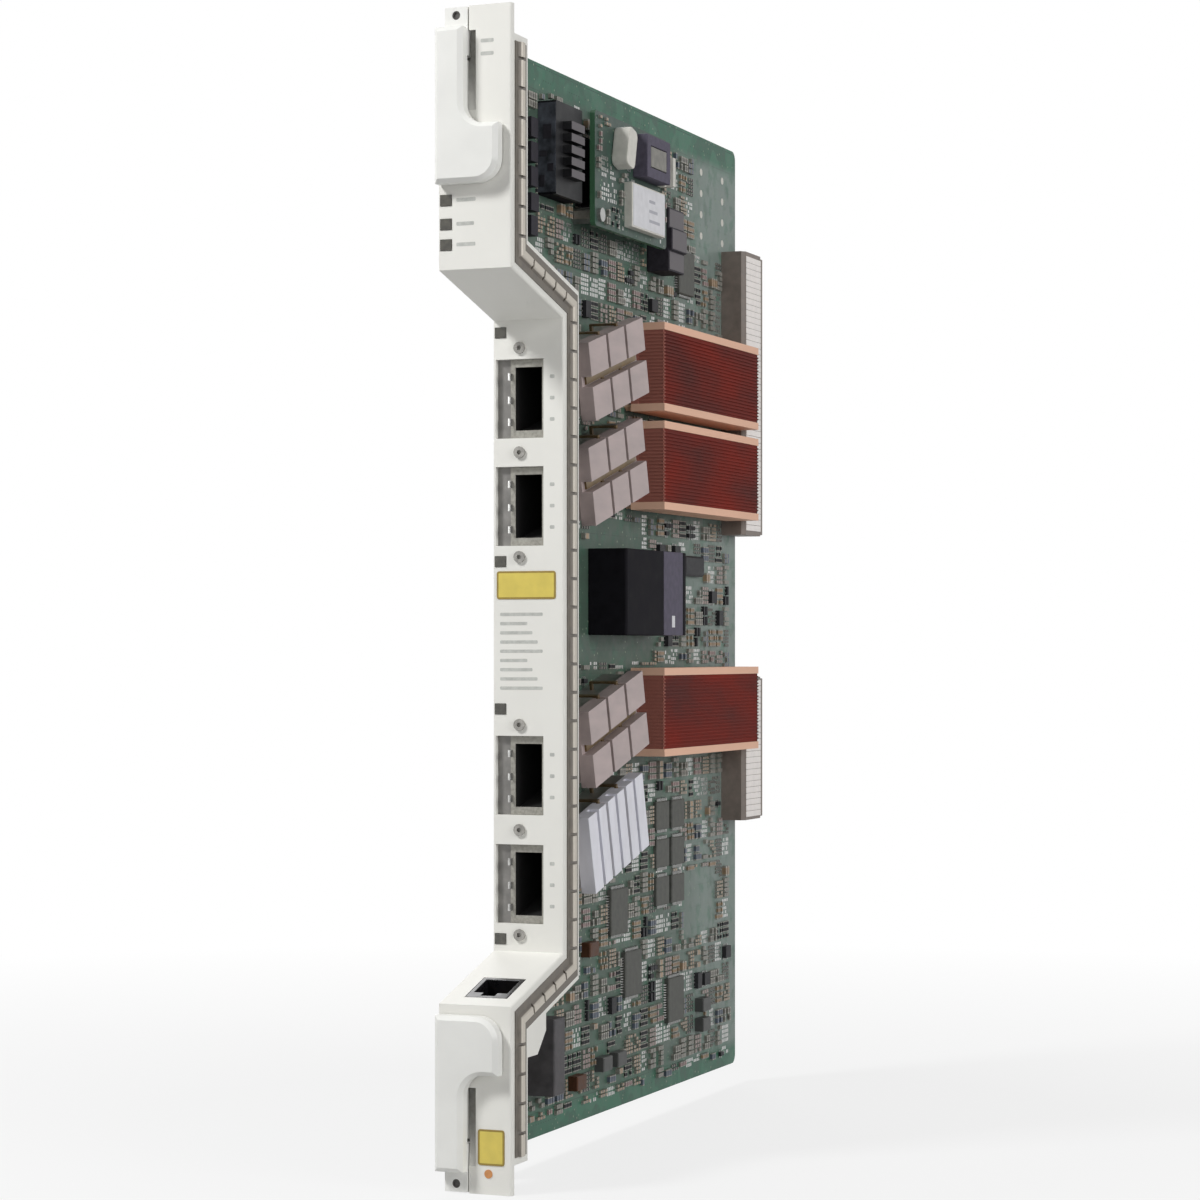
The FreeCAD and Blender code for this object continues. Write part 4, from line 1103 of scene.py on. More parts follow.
@dataclass
class PortBay(Dressing):
    """One transceiver bay: its trimmed cage, a black sheet inside it as painted shade, the frame and the
    springs of its mouth.
    """

    number: int
    height: float
    tilt: float = math.radians(15.0)
    mouth: float = 39.2
    cage_edge: float = 0.08
    cage_left: float = 5.5
    cage_right: float = 14.9
    half: float = 9.8
    wall: float = 0.6
    liner_start: float = -3.0
    liner_end: float = 58.0
    liner_mouth: float = 38.75
    liner_thick: float = 0.1
    frame_left: float = 4.6
    frame_right: float = 15.15
    frame_half: float = 11.1
    frame_front: float = 38.35
    frame_back: float = 38.65
    frame_edge: float = 0.1
    hole_left: float = 6.1
    hole_right: float = 14.2
    hole_half: float = 8.9
    leaf_left: float = 2.9
    leaf_depth: float = 38.3
    leaf_radius: float = 2.4
    leaf_length: float = 2.0
    leaf_start: float = 1.45
    leaf_thick: float = 0.15
    leaf_rises: Triple = (-6.6, -0.4, 6.2)

    def liner(self) -> None:
        """Models a black sheet inside the cage, open at the mouth, as painted shade of its deep inside."""
        low = Vector((self.cage_left + self.wall, self.liner_start, self.wall - self.half)) * MM
        high = Vector((self.cage_right - self.wall, self.liner_end, self.half - self.wall)) * MM
        liner = start_cube(f"bay_liner_{self.number}", low, high)
        with editing(liner):
            pick_facing(liner, TO_FRONT)
            bpy.ops.mesh.delete(type="FACE")
        modify(liner, "SOLIDIFY", thickness=self.liner_thick * MM, offset=-1.0)
        liner.rotation_euler = (self.tilt, 0.0, 0.0)
        liner.location = self.site.spot(0.0, self.mouth, self.height)
        settle(liner, liner.name)
        subtract(liner, self.site.before(self.liner_mouth))
        # The sheet is painted shade.
        dress(liner, Look.LINER_BLACK, "cage_sheet")

    def frame(self) -> None:
        """Models the flat sheet frame round the mouth, with an upright hole."""
        spot = self.site.spot
        low = spot(self.frame_left, self.frame_front, self.height - self.frame_half)
        high = spot(self.frame_right, self.frame_back, self.height + self.frame_half)
        frame = start_cube(f"bay_frame_{self.number}", low, high)
        low = spot(self.hole_left, self.frame_front - 1.0, self.height - self.hole_half)
        high = spot(self.hole_right, self.frame_back + 1.0, self.height + self.hole_half)
        subtract(frame, start_cube("hole", low, high))
        round_edges(frame, self.frame_edge, 1)
        dress(frame, Look.TIN_DULL, "bright_steel")

    def fingers(self) -> None:
        """Models one bowed leaf spring and sets a row of them beside the mouth."""
        leaf = start_disc("leaf", Vector(), self.leaf_radius, self.leaf_length, 24, ALONG_Z)
        start = self.leaf_start * MM
        with editing(leaf):
            pick_faces(leaf, lambda middle, normal: abs(normal.z) > SQUARE_ON or middle.x < start)
            bpy.ops.mesh.delete(type="FACE")
        modify(leaf, "SOLIDIFY", thickness=self.leaf_thick * MM)
        bpy.ops.object.shade_smooth_by_angle(angle=CREASE)
        heights = [self.height + rise for rise in self.leaf_rises]
        places = [Place(self.site.spot(self.leaf_left, self.leaf_depth, z)) for z in heights]
        dress(copies(leaf, f"bay_fingers_{self.number}", places), Look.BRIGHT_STEEL, "bright_steel")

    def build(self) -> None:
        """Builds the bay's dressing."""
        node = f"transceiver_cage_{self.number}"
        TrimmedCage(self.site, node, self.cage_edge, "cage_sheet", segments=1, join_flats=False).build()
        self.liner()
        self.frame()
        self.fingers()


@dataclass
class BackplaneConnector(Dressing):
    """A backplane connector: near-white ribs along its top as painted light, contacts in its face and tails
    through the board.
    """

    node: str
    pitch: float = 2.0 * MM
    rib: float = 1.9 * MM
    rib_height: float = 0.25 * MM
    rib_edge: float = 0.1
    rib_front: float = 1.4 * MM
    rib_rear: float = 4.2 * MM
    rows: int = 4
    row_pitch: float = 1.42 * MM
    tail_start: float = 3.0 * MM
    tail_pitch: float = 2.4 * MM

    def build(self) -> None:
        """Models one rib, one contact and one tail, and copies them along the connector."""
        low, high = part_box(self.node)
        count = int((high.z - low.z - self.pitch) / self.pitch)
        heights = [(low.z + high.z) / 2 + z for z in row(count, self.pitch)]
        start = Vector((0.0, low.y + self.rib_front, -self.rib / 2))
        rib = start_cube("rib", start, Vector((self.rib_height, high.y - self.rib_rear, self.rib / 2)))
        round_edges(rib, self.rib_edge, 1)
        places = [Place(Vector((high.x, 0.0, z))) for z in heights]
        dress(copies(rib, f"{self.node}_ribs", places), Look.CONNECTOR_TOP, "connector_shell")
        blade = start_cube("blade", Vector((-0.2, -2.3, -0.5)) * MM, Vector((0.2, -0.4, 0.5)) * MM)
        taper(blade, TO_REAR, (0.4, 1.0, 0.6))
        columns = [(low.x + high.x) / 2 + x for x in row(self.rows, self.row_pitch)]
        places = [Place(Vector((x, high.y, z))) for x in columns for z in heights]
        dress(copies(blade, f"{self.node}_contacts", places), Look.GOLD, "bright_steel")
        tail = start_cube("tail", Vector((0.0, -0.25, -0.25)) * MM, Vector((1.0, 0.25, 0.25)) * MM)
        taper(tail, TO_RIGHT, (1.0, 0.4, 0.4))
        depths = [low.y + self.tail_start + i * self.tail_pitch for i in range(self.rows)]
        places = [Place(Vector((self.site.back, y, z)), flipped=True) for y in depths for z in heights]
        dress(copies(tail, f"{self.node}_tails", places), Look.SOLDER, "bright_steel")


@dataclass
class FoldedFins(Dressing):
    """Folds that close a copper sink's fins: a sheet just under their tips and a web near each end."""

    node: str
    plate: float = 2.3 * MM
    sheet: float = 0.3 * MM
    drop: float = 0.35 * MM
    inset: float = 0.1 * MM
    setback: float = 0.3 * MM

    def build(self) -> None:
        """Models the folds as one bent sheet and gives it the sink's own finish."""
        low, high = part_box(self.node)
        top = high.x - self.drop
        start = Vector((top - self.sheet, low.y + self.inset, low.z + self.plate))
        end = Vector((top, high.y - self.inset, high.z - self.plate))
        fold = start_cube(f"{self.node}_folds", start, end)
        rear_web = high.y - self.inset - self.sheet
        web = low.y + self.setback
        web_end = web + self.sheet
        with editing(fold):
            for depth in (web, web_end, rear_web):
                cut_across(depth)
            pick_faces(
                fold,
                lambda middle, normal: normal.x < -SQUARE_ON
                and (middle.y > rear_web or web < middle.y < web_end),
            )
            extrude(Vector((low.x + self.plate - start.x, 0.0, 0.0)))
        fold.data.materials.append(self.site.nodes[self.node].data.materials[0])
        dress(fold, Look.COPPER, "copper")


@dataclass(frozen=True)
class SmallPart:
    """A kind of small part: a case along Y on a board's face, with tinned ends or leads where it has them."""

    name: str
    length: float
    width: float
    height: float
    case: Look
    end: float = 0.0
    leads: int = 0
    share: int = 1

    def tin(self, part: Object) -> None:
        """Cuts a band off each end of the case and tins it.

        Args:
            part: The plain case.
        """
        reach = (self.length / 2 - self.end) * MM
        with editing(part):
            for depth in (-reach, reach):
                cut_across(depth)
            pick_faces(part, lambda middle, normal: abs(middle.y) > reach + MERGE)
            coat_selected(part)

    def add_leads(self, part: Object) -> Object:
        """Sets a row of flat leads along both long sides.

        Args:
            part: The plain case.

        Returns:
            The case with its leads.
        """
        lead = start_cube("lead", Vector((0.0, -0.2, -0.4)) * MM, Vector((0.35, 0.2, 0.4)) * MM)
        coat(lead, Look.SOLDER)
        away = self.width / 2 + 0.3
        along = row(self.leads, self.length / self.leads)
        places = [Place(Vector((0.0, y, z)) * MM) for z in (-away, away) for y in along]
        return join(self.name, [part, copies(lead, "leads", places)])

    def model(self) -> Object:
        """Models one part at the origin.

        Returns:
            The part, with its foot at X = 0.
        """
        low = Vector((0.0, -self.length / 2, -self.width / 2)) * MM
        high = Vector((self.height, self.length / 2, self.width / 2)) * MM
        part = start_cube(self.name, low, high)
        coat(part, self.case, Look.TIN_DULL)
        if self.end:
            self.tin(part)
        if self.leads:
            part = self.add_leads(part)
        return part


class Kind(Enum):
    """The kinds of small parts on the boards."""

    RESISTOR = SmallPart("resistor", 1.6, 0.8, 0.45, Look.CHIP_EPOXY, end=0.3, share=3)
    TAN = SmallPart("tan_capacitor", 1.6, 0.8, 0.8, Look.CERAMIC_TAN, end=0.35, share=4)
    GREY = SmallPart("grey_capacitor", 2.0, 1.25, 1.0, Look.CERAMIC_GREY, end=0.45, share=5)
    ROSE = SmallPart("rose_part", 1.6, 1.1, 0.7, Look.ROSE, end=0.3, share=2)
    LARGE = SmallPart("large_capacitor", 3.2, 1.6, 1.4, Look.CERAMIC_TAN, end=0.5)
    PAD = SmallPart("pad", 1.1, 0.9, 0.05, Look.SOLDER, share=4)
    SLATE = SmallPart("slate_part", 2.2, 1.4, 1.0, Look.SLATE, end=0.3, share=2)
    TRANSISTOR = SmallPart("transistor", 2.9, 1.3, 1.0, Look.CHIP_EPOXY, leads=2)
    SMALL_CHIP = SmallPart("small_chip", 5.0, 3.9, 1.5, Look.CHIP_EPOXY, leads=4)
    ARRAY = SmallPart("slate_array", 3.6, 2.4, 1.6, Look.SLATE_DARK, share=5)
    SQUARE = SmallPart("dark_square", 5.6, 5.0, 2.6, Look.CHOKE_DARK, share=4)


@dataclass
class Ground:
    """What a board's face leaves free, found by looking straight down at it."""

    face: float
    side: Side
    board: BVHTree
    cover: BVHTree
    look_from: float = 2.8 * MM
    look_past: float = 0.2 * MM

    @classmethod
    def of(cls, site: Site, board: str, side: Side) -> "Ground":
        """Makes the search trees of one board and of everything else.

        Args:
            site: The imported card.
            board: The board's node.
            side: The face.

        Returns:
            The ground.
        """
        low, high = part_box(board)
        rest = [node for name, node in site.nodes.items() if name != board]
        face = high.x if side is Side.COMPONENT else low.x
        return cls(face, side, cls.tree([site.nodes[board]]), cls.tree(rest))

    @staticmethod
    def tree(nodes: list[Object]) -> BVHTree:
        """Makes one search tree of several solids.

        Args:
            nodes: The solids.

        Returns:
            The tree.
        """
        corners: list[Vector] = []
        faces: list[list[int]] = []
        for node in nodes:
            first = len(corners)
            corners += [node.matrix_world @ vertex.co for vertex in node.data.vertices]
            faces += [[first + index for index in face.vertices] for face in node.data.polygons]
        return BVHTree.FromPolygons(corners, faces)

    def free(self, middle: Vector, half_y: float, half_z: float) -> bool:
        """Whether a box on the face stands on the board and clear of everything else.

        Args:
            middle: The box's middle on the face.
            half_y: Half its length along Y.
            half_z: Half its length along Z.

        Returns:
            Whether the place is free.
        """
        down = Vector((-self.side.value, 0.0, 0.0))
        reach = self.look_from + self.look_past
        for dy in (-half_y, 0.0, half_y):
            for dz in (-half_z, 0.0, half_z):
                eye = Vector((self.face + self.side.value * self.look_from, middle.y + dy, middle.z + dz))
                if self.cover.ray_cast(eye, down, reach)[0] is not None:
                    return False
                if self.board.ray_cast(eye, down, reach)[0] is None:
                    return False
        return True


@dataclass
class PartField(Dressing):
    """Small parts in patches over the free places of a board's face."""

    name: str
    ground: Ground
    area: Box
    kinds: tuple[Kind, ...]
    density: Pair
    seed: int
    patch: float = 7.0
    gap: float = 0.55
    clear: float = 0.5
    lead_room: float = 0.4
    bare: tuple[Box, ...] = ()

    def spread(self) -> dict[Kind, list[Place]]:
        """Chooses a kind, a direction and a density for each patch, and fills it.

        Returns:
            The places of each kind.
        """
        chance = random.Random(self.seed)
        found: dict[Kind, list[Place]] = {kind: [] for kind in self.kinds}
        left, right, bottom, top = self.area
        flipped = self.ground.side is Side.SOLDER
        for column in range(int((right - left) / self.patch)):
            for line in range(int((top - bottom) / self.patch)):
                kind = chance.choices(self.kinds, [kind.value.share for kind in self.kinds])[0]
                turned = chance.random() < 0.5
                density = chance.uniform(*self.density)
                corner = (left + column * self.patch, bottom + line * self.patch)
                for y, z in self.grid(kind.value, turned, corner):
                    if chance.random() < density and self.fits(kind.value, turned, y, z):
                        spot = Vector((self.ground.face, *self.site.spot(0.0, y, z).yz))
                        found[kind].append(Place(spot, math.pi / 2 if turned else 0.0, flipped))
        return found

    def grid(self, part: SmallPart, turned: bool, corner: Pair) -> Iterator[Pair]:
        """Places in one patch, in rows.

        Args:
            part: The kind of part.
            turned: Whether it lies along Z.
            corner: The patch's distance from the panel's front and its height.

        Returns:
            Each place's distance from the panel's front and its height.
        """
        steps = [part.length + self.gap, part.width + self.gap + (2 * self.lead_room if part.leads else 0.0)]
        if turned:
            steps.reverse()
        for i in range(int(self.patch / steps[0])):
            for j in range(int(self.patch / steps[1])):
                yield corner[0] + (i + 0.5) * steps[0], corner[1] + (j + 0.5) * steps[1]

    def fits(self, part: SmallPart, turned: bool, y: float, z: float) -> bool:
        """Whether a part can stand at a place.

        Args:
            part: The kind of part.
            turned: Whether it lies along Z.
            y: Distance from the panel's front.
            z: Height over the panel's foot.

        Returns:
            Whether the place is on the board, free and not kept bare.
        """
        for left, right, bottom, top in self.bare:
            if left < y < right and bottom < z < top:
                return False
        room = self.lead_room if part.leads else 0.0
        halves = [part.length / 2 + self.clear, part.width / 2 + self.clear + room]
        if turned:
            halves.reverse()
        return self.ground.free(self.site.spot(0.0, y, z), halves[0] * MM, halves[1] * MM)

    def build(self) -> None:
        """Models each kind once and copies it to its places."""
        for kind, places in self.spread().items():
            if places:
                part = kind.value
                slot = "chip_epoxy" if part.case in (Look.CHIP_EPOXY, Look.CHOKE_DARK) else "bright_steel"
                dress(copies(part.model(), f"{self.name}_{part.name}", places), part.case, slot)


@dataclass
class ChipLeads(Dressing):
    """Gull-wing leads round the larger chips of one kind."""

    name: str
    length: float
    height: float
    places: tuple[Pair, ...]
    per_length: int
    per_height: int
    pitch: float = 0.8
    fall: Triple = (-0.65, 0.0, 0.2)
    foot: Triple = (0.0, 0.0, 0.65)

    def model(self) -> Object:
        """Models one lead: out of the case, down and along the board.

        Returns:
            The lead at the origin, pointing along Z from the case's side.
        """
        lead = start_cube("lead", Vector((0.65, -0.16, -0.1)) * MM, Vector((0.8, 0.16, 0.25)) * MM)
        with editing(lead):
            for step in (self.fall, self.foot):
                pick_facing(lead, UP)
                extrude(Vector(step) * MM)
        return lead

    def build(self) -> None:
        """Sets the leads along each chip's sides."""
        spots = []
        for front, bottom in self.places:
            middle = self.site.on_board(front + self.length / 2, bottom + self.height / 2)
            for quarter in range(4):
                turn = quarter * math.pi / 2
                sides = ((self.per_length, self.height), (self.per_height, self.length))
                count, across = sides[quarter % 2]
                for along in row(count, self.pitch):
                    step = Vector((0.0, along, across / 2)) * MM
                    step.rotate(Euler((turn, 0.0, 0.0)))
                    spots.append(Place(middle + step, turn))
        dress(copies(self.model(), self.name, spots), Look.SOLDER, "bright_steel")


@dataclass
class BoardDressing(Dressing):
    """Pads, joints and the few larger parts that stand alone on the board."""

    pad_columns: tuple[float, ...] = (194.5, 215.3)
    pad_foot: float = 283.5
    pad_pitch: float = 7.0
    joint_pitch: float = 3.5 * MM
    joint_inset: float = 2.0 * MM
    through_parts: tuple[str, ...] = (
        "console_jack", "line_filter", "choke", "converter_block", "power_brick",
    )
    label_margin: float = 0.5
    label_thick: float = 0.12
    brick_insets: tuple[Box, ...] = (
        (6.1, 280.2, 1.6, 3.4), (8.6, 284.6, 1.9, 2.2), (6.1, 288.9, 2.3, 1.7), (7.2, 294.0, 2.6, 4.1),
    )
    fin_foot: float = 283.45
    fin_pitch: float = 3.45
    face_thick: float = 0.06
    wire_pitch: float = 1.0
    wire_tilt: float = math.atan2(11.0, 37.0) + math.radians(18.0)

    def pads(self) -> None:
        """Models one ring pad and sets it in two columns near the rear edge."""
        pad = start_disc("pad", Vector((0.03, 0.0, 0.0)) * MM, 1.2, 0.06, 16, ALONG_X)
        dish(pad, TO_RIGHT, 0.75, 0.05)
        heights = [self.pad_foot + step * self.pad_pitch for step in range(4)]
        places = [Place(self.site.on_board(y, z)) for y in self.pad_columns for z in heights]
        dress(copies(pad, "ring_pads", places), Look.PALE_PLASTIC, "bright_steel")

    def joints(self) -> None:
        """Models one solder cone and sets it behind the pins of the parts that go through the board."""
        cone = start_disc("cone", Vector((0.35, 0.0, 0.0)) * MM, 0.8, 0.7, 10, ALONG_X)
        taper(cone, TO_RIGHT, (1.0, 0.35, 0.35))
        places = []
        for node in self.through_parts:
            low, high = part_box(node)
            count = int((high.z - low.z - 2 * self.joint_inset) / self.joint_pitch) + 1
            for y in (low.y + self.joint_inset, high.y - self.joint_inset):
                for i in range(count):
                    spot = Vector((self.site.back, y, low.z + self.joint_inset + i * self.joint_pitch))
                    places.append(Place(spot, flipped=True))
        dress(copies(cone, "solder_joints", places), Look.SOLDER, "bright_steel")

    def plate(self, name: str, corner: Triple, size: Triple) -> Object:
        """Models a thin plate with soft edges.

        Args:
            name: The plate's name.
            corner: Its lowest corner, from the panel's corner.
            size: Its lengths.

        Returns:
            The plate.
        """
        low = self.site.spot(*corner)
        plate = start_cube(name, low, low + Vector(size) * MM)
        round_edges(plate, min(size) * 0.3, 1)
        return plate

    def marks(self) -> None:
        """Plain label on the potted block, plain mark on the converter's core and a dark chip behind it."""
        low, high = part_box("potted_block")
        margin = Vector((0.0, self.label_margin, self.label_margin)) * MM
        top = Vector((high.x, low.y, low.z))
        end = high - margin + Vector((self.label_thick * MM, 0.0, 0.0))
        dress(start_cube("potted_label", top + margin, end), Look.LABEL_WHITE, "pale_plastic")
        bars = []
        for step in range(3):
            start = top + Vector((self.label_thick, 14.0, 3.0 + 3.0 * step)) * MM
            bars.append(start_cube("ink", start, start + Vector((0.03, 9.0 - 2 * step, 0.9)) * MM))
        dress(join("potted_label_bars", bars), Look.INK_GREY, "pale_plastic")
        low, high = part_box("converter_core")
        mark = Vector((high.x, low.y + 7.0 * MM, low.z + 2.5 * MM))
        tick = start_cube("core_mark", mark, mark + Vector((0.05, 2.6, 3.6)) * MM)
        dress(tick, Look.LABEL_WHITE, "ferrite_grey")
        chip = self.plate("driver_chip", (5.5, 174.0, 171.0), (2.2, 18.0, 6.6))
        dress(chip, Look.CHIP_EPOXY, "chip_epoxy")

    def power_faces(self) -> None:
        """Painted highlight on the tips of the brick sink's fins, the brick's slate front with dark insets,
        and painted light on the choke's face.
        """
        heights = [self.fin_foot + self.fin_pitch * step for step in range(5)]
        # Painted highlight: grey plates on the tips of the black fins.
        tips = [self.plate("tip", (14.0, 61.0, height), (0.05, 10.0, 2.3)) for height in heights]
        dress(join("brick_fin_tips", tips), Look.FIN_WORN, "black_anodised")
        front = self.plate("brick_front", (5.6, 55.85, 278.6), (5.5, 0.15, 25.8))
        dress(front, Look.BRICK_SLATE, "module_black")
        insets = []
        for left, bottom, width, height in self.brick_insets:
            insets.append(self.plate("inset", (left, 55.75, bottom), (width, 0.1, height)))
        dress(join("brick_front_insets", insets), Look.CHOKE_DARK, "module_black")
        # Painted light: grey plates on the choke's faces that look to +X.
        low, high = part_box("choke")
        start = Vector((high.x, low.y + 0.6 * MM, low.z + 6.9 * MM))
        end = Vector((high.x + self.face_thick * MM, high.y - 0.6 * MM, high.z - 6.9 * MM))
        faces = [start_cube("choke_face", start, end)]
        for bottom in (low.z + 0.6 * MM, high.z - 6.1 * MM):
            corner = Vector((high.x - 1.0 * MM, low.y + 0.6 * MM, bottom))
            faces.append(start_cube("side", corner, corner + Vector((self.face_thick, 12.8, 5.5)) * MM))
        dress(join("choke_faces", faces), Look.FIN_WORN, "choke_dark")

    def jack_contacts(self) -> None:
        """Models one contact wire and sets a row of them in the console jack."""
        low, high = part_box("console_jack")
        wire = start_cube("wire", Vector((-0.2, -0.15, -5.0)) * MM, Vector((0.2, 0.15, 4.0)) * MM)
        with editing(wire):
            pick_facing(wire, UP)
            extrude(Vector((0.0, 0.8, 0.5)) * MM)
        seat = self.site.spot(0.0, 13.4, 47.6)
        seat.x = (low.x + high.x) / 2
        across = row(8, self.wire_pitch * MM)
        places = [Place(seat + Vector((x, 0.0, 0.0)), self.wire_tilt) for x in across]
        dress(copies(wire, "jack_contacts", places), Look.GOLD, "bright_steel")

    def build(self) -> None:
        """Builds everything that stands alone on the board."""
        self.pads()
        self.joints()
        self.marks()
        self.power_faces()
        self.jack_contacts()


@dataclass
class Studio:
    """Floor, backdrop light, lamps and the camera at the photograph's view."""

    lens: float = 92.3
    sensor: float = 36.0
    shift: float = 0.0425
    turn: float = math.radians(21.7)
    eye: Triple = (0.3452, -0.8828, 0.1397)
    aim: Triple = (0.0, 0.0, 0.15)
    floor_size: float = 6.0
    ambient: float = 0.14
    paper: float = 0.55
    paper_rough: float = 0.9

    def backdrop(self, graph: Graph) -> NodeSocket:
        """A value that is 1 for what the camera, a gloss or a clear surface sees.

        Args:
            graph: The world's or the floor's graph.

        Returns:
            The value's output.
        """
        rays = graph.node("LightPath").outputs
        seen = graph.sum("MAXIMUM", rays["Is Camera Ray"], rays["Is Glossy Ray"])
        return graph.sum("MAXIMUM", seen, rays["Is Transmission Ray"])

    def world(self) -> None:
        """White to look at, and a softer level as light."""
        world = bpy.data.worlds.new("studio")
        world.use_nodes = True
        bpy.context.scene.world = world
        graph = Graph(world.node_tree)
        light = graph.tree.nodes["Background"].inputs
        graph.feed(light["Color"], (1.0, 1.0, 1.0, 1.0))
        graph.feed(light["Strength"], graph.ramp(self.backdrop(graph), 0.0, 1.0, self.ambient, 1.0))

    def floor(self) -> None:
        """A pale floor at the card's foot that takes a soft shadow."""
        deselect()
        bpy.ops.mesh.primitive_plane_add(size=self.floor_size, location=(0.0, 0.0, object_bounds()[0].z))
        floor = settle(bpy.context.object, "studio_floor")
        material = bpy.data.materials.new("studio_floor_paper")
        material.use_nodes = True
        graph = Graph(material.node_tree)
        paper = graph.tree.nodes["Principled BSDF"]
        graph.feed(paper.inputs["Base Color"], (self.paper, self.paper, self.paper, 1.0))
        graph.feed(paper.inputs["Roughness"], self.paper_rough)
        away = graph.node("VectorMath")
        away.operation = "LENGTH"
        graph.feed(away.inputs[0], graph.spot)
        fade = graph.ramp(away.outputs["Value"], 0.15, 0.6, 0.8, 1.0)
        share = graph.sum("MULTIPLY", self.backdrop(graph), fade)
        mix = graph.node("MixShader")
        glow = graph.node("Emission")
        for socket, value in zip(mix.inputs, (share, paper.outputs[0], glow.outputs[0])):
            graph.feed(socket, value)
        graph.feed(graph.tree.nodes["Material Output"].inputs["Surface"], mix.outputs[0])
        floor.data.materials.append(material)
        floor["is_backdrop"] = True

    def lamp(self, name: str, place: Triple, size: float, power: float) -> None:
        """Adds a soft square lamp that looks at the card's middle.

        Args:
            name: The lamp's name.
            place: Where it stands.
            size: Its side.
            power: Its power in watts.
        """
        light = bpy.data.lights.new(name, "AREA")
        light.size = size
        light.energy = power
        lamp = bpy.data.objects.new(name, light)
        bpy.context.scene.collection.objects.link(lamp)
        lamp.location = place
        way = Vector(self.aim) - Vector(place)
        lamp.rotation_euler = way.to_track_quat("-Z", "Y").to_euler()

    def camera(self) -> None:
        """Level camera in front and to the right of the card."""
        camera = bpy.data.cameras.new("camera")
        camera.lens = self.lens
        camera.sensor_width = self.sensor
        camera.shift_y = self.shift
        view = bpy.data.objects.new("camera", camera)
        bpy.context.scene.collection.objects.link(view)
        view.location = self.eye
        view.rotation_euler = (math.pi / 2, 0.0, self.turn)
        bpy.context.scene.camera = view

    def build(self) -> None:
        """Sets up the whole studio."""
        self.world()
        self.floor()
        self.lamp("key_lamp", (-0.6, -0.76, 1.0), 0.25, 12.4)
        self.lamp("fill_lamp", (1.55, -0.5, 0.6), 0.8, 13.0)
        self.lamp("rear_lamp", (-0.6, 1.3, 1.0), 1.0, 7.0)
        self.camera()
        bpy.context.scene.view_settings.view_transform = "Standard"


def dress_nodes(frame: dict) -> None:
    """Gives every solid the finish of its record slot or its own, and each copper sink its bright plates.
    """
    for part in frame["record"]["subparts"]:
        node = part["node"]
        look = OWN_LOOKS.get(node, Look[part["material_slot"].upper()])
        if node.startswith("copper_heat_sink"):
            low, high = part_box(node)
            low, middle, high = low / MM, (low + high) / 2 / MM, high / MM
            copper = FinnedCopper(
                **vars(look.value), middle=middle.z, half=high.z - middle.z, front=low.y, rear=high.y
            )
            material = copper.material(node)
        else:
            material = look.material()
        mesh = frame["nodes"][node].data
        mesh.materials.clear()
        mesh.materials.append(material)


def soften(site: Site) -> None:
    """Rounds the edges of the solids whose edges show.

    Args:
        site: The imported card.
    """
    SoftenedPanel(site, "faceplate", 0.25, "panel_paint").build()
    for node, edge, slot, body in (
        ("upper_ejector_lever", 0.5, "lever_plastic", "upper_lever"),
        ("lower_ejector_lever", 0.5, "lever_plastic", "lower_lever"),
        ("converter_block", 0.3, "module_black", "card"),
        ("converter_core", 0.3, "ferrite_grey", "card"),
        ("console_jack", 0.2, "jack_black", "card"),
        ("choke", 0.4, "choke_dark", "card"),
        ("film_capacitor", 0.5, "pale_plastic", "card"),
        ("terminal_strip", 0.25, "pale_plastic", "card"),
        ("transformer_core", 0.3, "ferrite_grey", "card"),
        ("cage_heat_sink_4", 0.2, "sink_pale", "card"),
        *((f"cage_heat_sink_{number}", 0.2, "sink_grey", "card") for number in (1, 2, 3)),
    ):
        SoftenedNode(site, node, edge, slot, body).build()
    for node in CONNECTORS:
        SoftenedNode(site, node, 0.15, "connector_shell", join_flats=False).build()


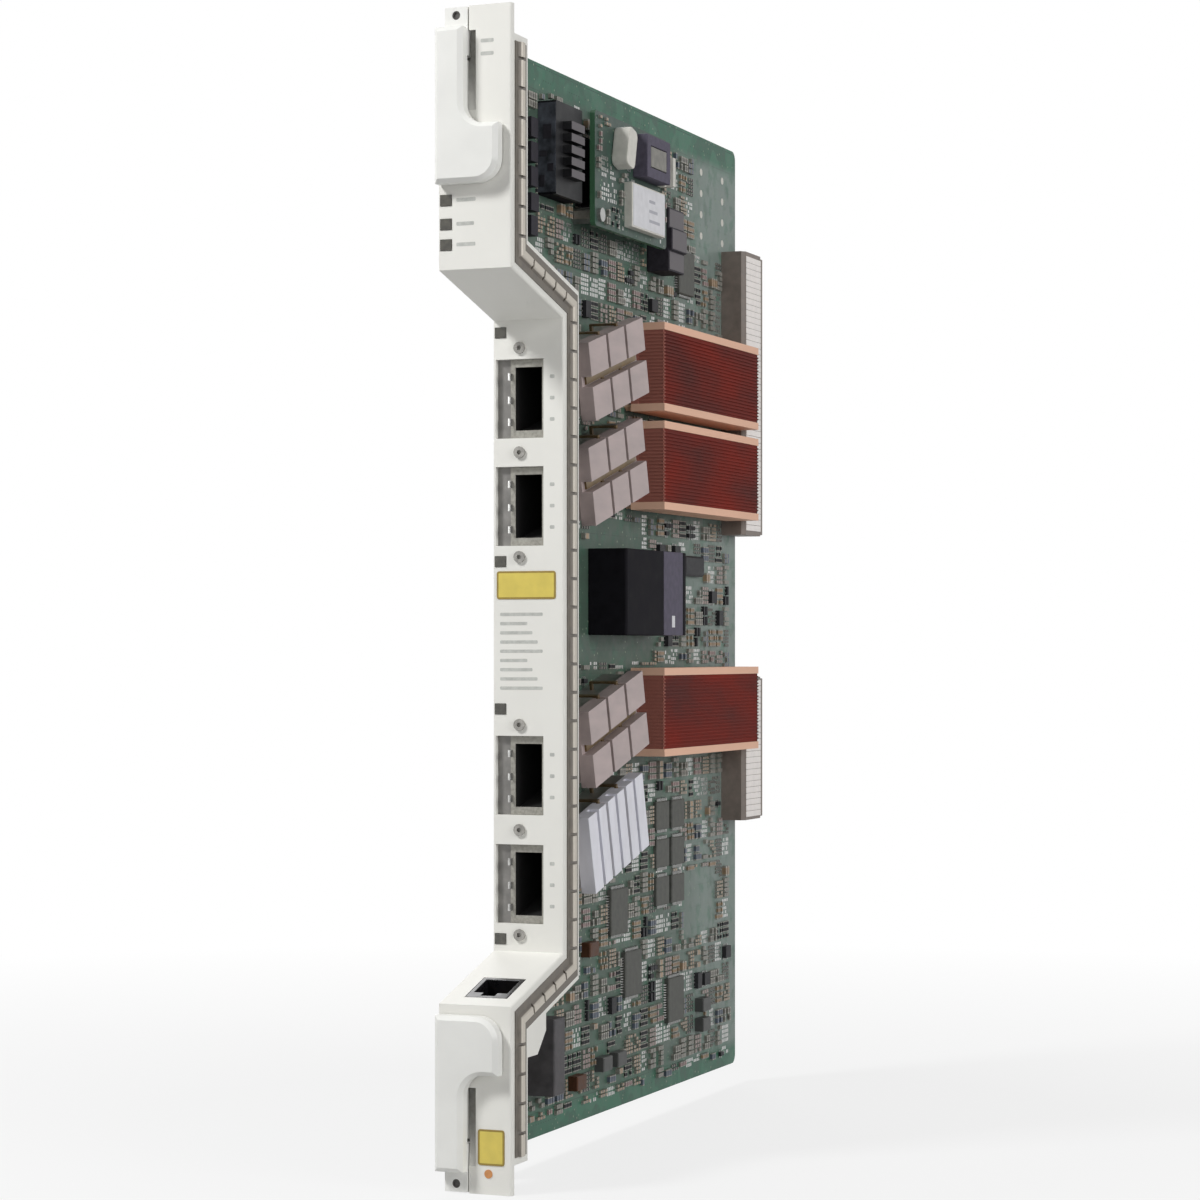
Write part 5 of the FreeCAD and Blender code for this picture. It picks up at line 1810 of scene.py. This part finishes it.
def part_fields(site: Site) -> list[PartField]:
    """The fields of small parts on the main board's two faces and on the raised board.

    Args:
        site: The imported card.

    Returns:
        The fields, ready to build.
    """
    front = Ground.of(site, "circuit_board", Side.COMPONENT)
    back = Ground.of(site, "circuit_board", Side.SOLDER)
    raised = Ground.of(site, "mezzanine_board", Side.COMPONENT)
    common = (Kind.RESISTOR, Kind.TAN, Kind.GREY, Kind.ROSE, Kind.LARGE, Kind.PAD, Kind.SLATE)
    chips = (Kind.TRANSISTOR, Kind.SMALL_CHIP)
    # Dense dark parts, partly painted shade of the panel on the board behind it.
    dark = (Kind.ARRAY, Kind.SQUARE)
    few = common[:4] + (Kind.PAD,)
    shaded_front_area = (10.0, 54.0, 258.0, 302.0)
    bare = (
        (0.0, 230.0, 309.5, 320.0),
        (0.0, 230.0, 0.0, 11.5),
        (186.0, 230.0, 276.0, 320.0),
        (84.0, 106.0, 144.0, 180.0),
        (84.0, 150.0, 143.0, 152.0),
        (95.0, 139.0, 175.0, 187.0),
        (176.0, 207.0, 54.0, 76.0),
        (172.0, 194.0, 169.0, 179.0),
        shaded_front_area,
    )
    whole_front = (5.0, 228.0, 8.0, 316.0)
    return [
        PartField(site, "front", front, whole_front, common + chips, (0.65, 1.0), 11, gap=0.4, bare=bare),
        # The dark field is partly painted shade behind the upper panel.
        PartField(site, "dark", front, shaded_front_area, dark, (0.95, 1.0), 5, gap=0.25, clear=0.1),
        PartField(site, "raised", raised, (78.0, 142.0, 266.0, 310.0), common, (0.3, 0.8), 23),
        PartField(site, "back", back, (5.0, 228.0, 12.0, 310.0), few, (0.0, 0.35), 41),
    ]


def main() -> None:
    """Builds the card's looks in order."""
    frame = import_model()
    site = Site.of(frame)
    dress_nodes(frame)
    fields = part_fields(site)
    soften(site)
    FaceplateDressing(site).build()
    NotchTabs(site).build()
    LeverRivet(site, "upper_lever", 318.8).build()
    LeverRivet(site, "lower_lever", 2.5).build()
    for number, height in enumerate(PORT_HEIGHTS, 1):
        PortBay(site, number, height).build()
    for node in CONNECTORS:
        BackplaneConnector(site, node).build()
    for number in (1, 2, 3):
        FoldedFins(site, f"copper_heat_sink_{number}").build()
    ChipLeads(site, "logic_leads", 14.0, 14.0, LOGIC_PLACES, 14, 14).build()
    ChipLeads(site, "memory_leads", 11.5, 9.0, MEMORY_PLACES, 11, 0).build()
    BoardDressing(site).build()
    for field in fields:
        field.build()
    Studio().build()


if __name__ == "__main__":
    logging.basicConfig(level=logging.INFO, format="%(name)s %(message)s")
    main()
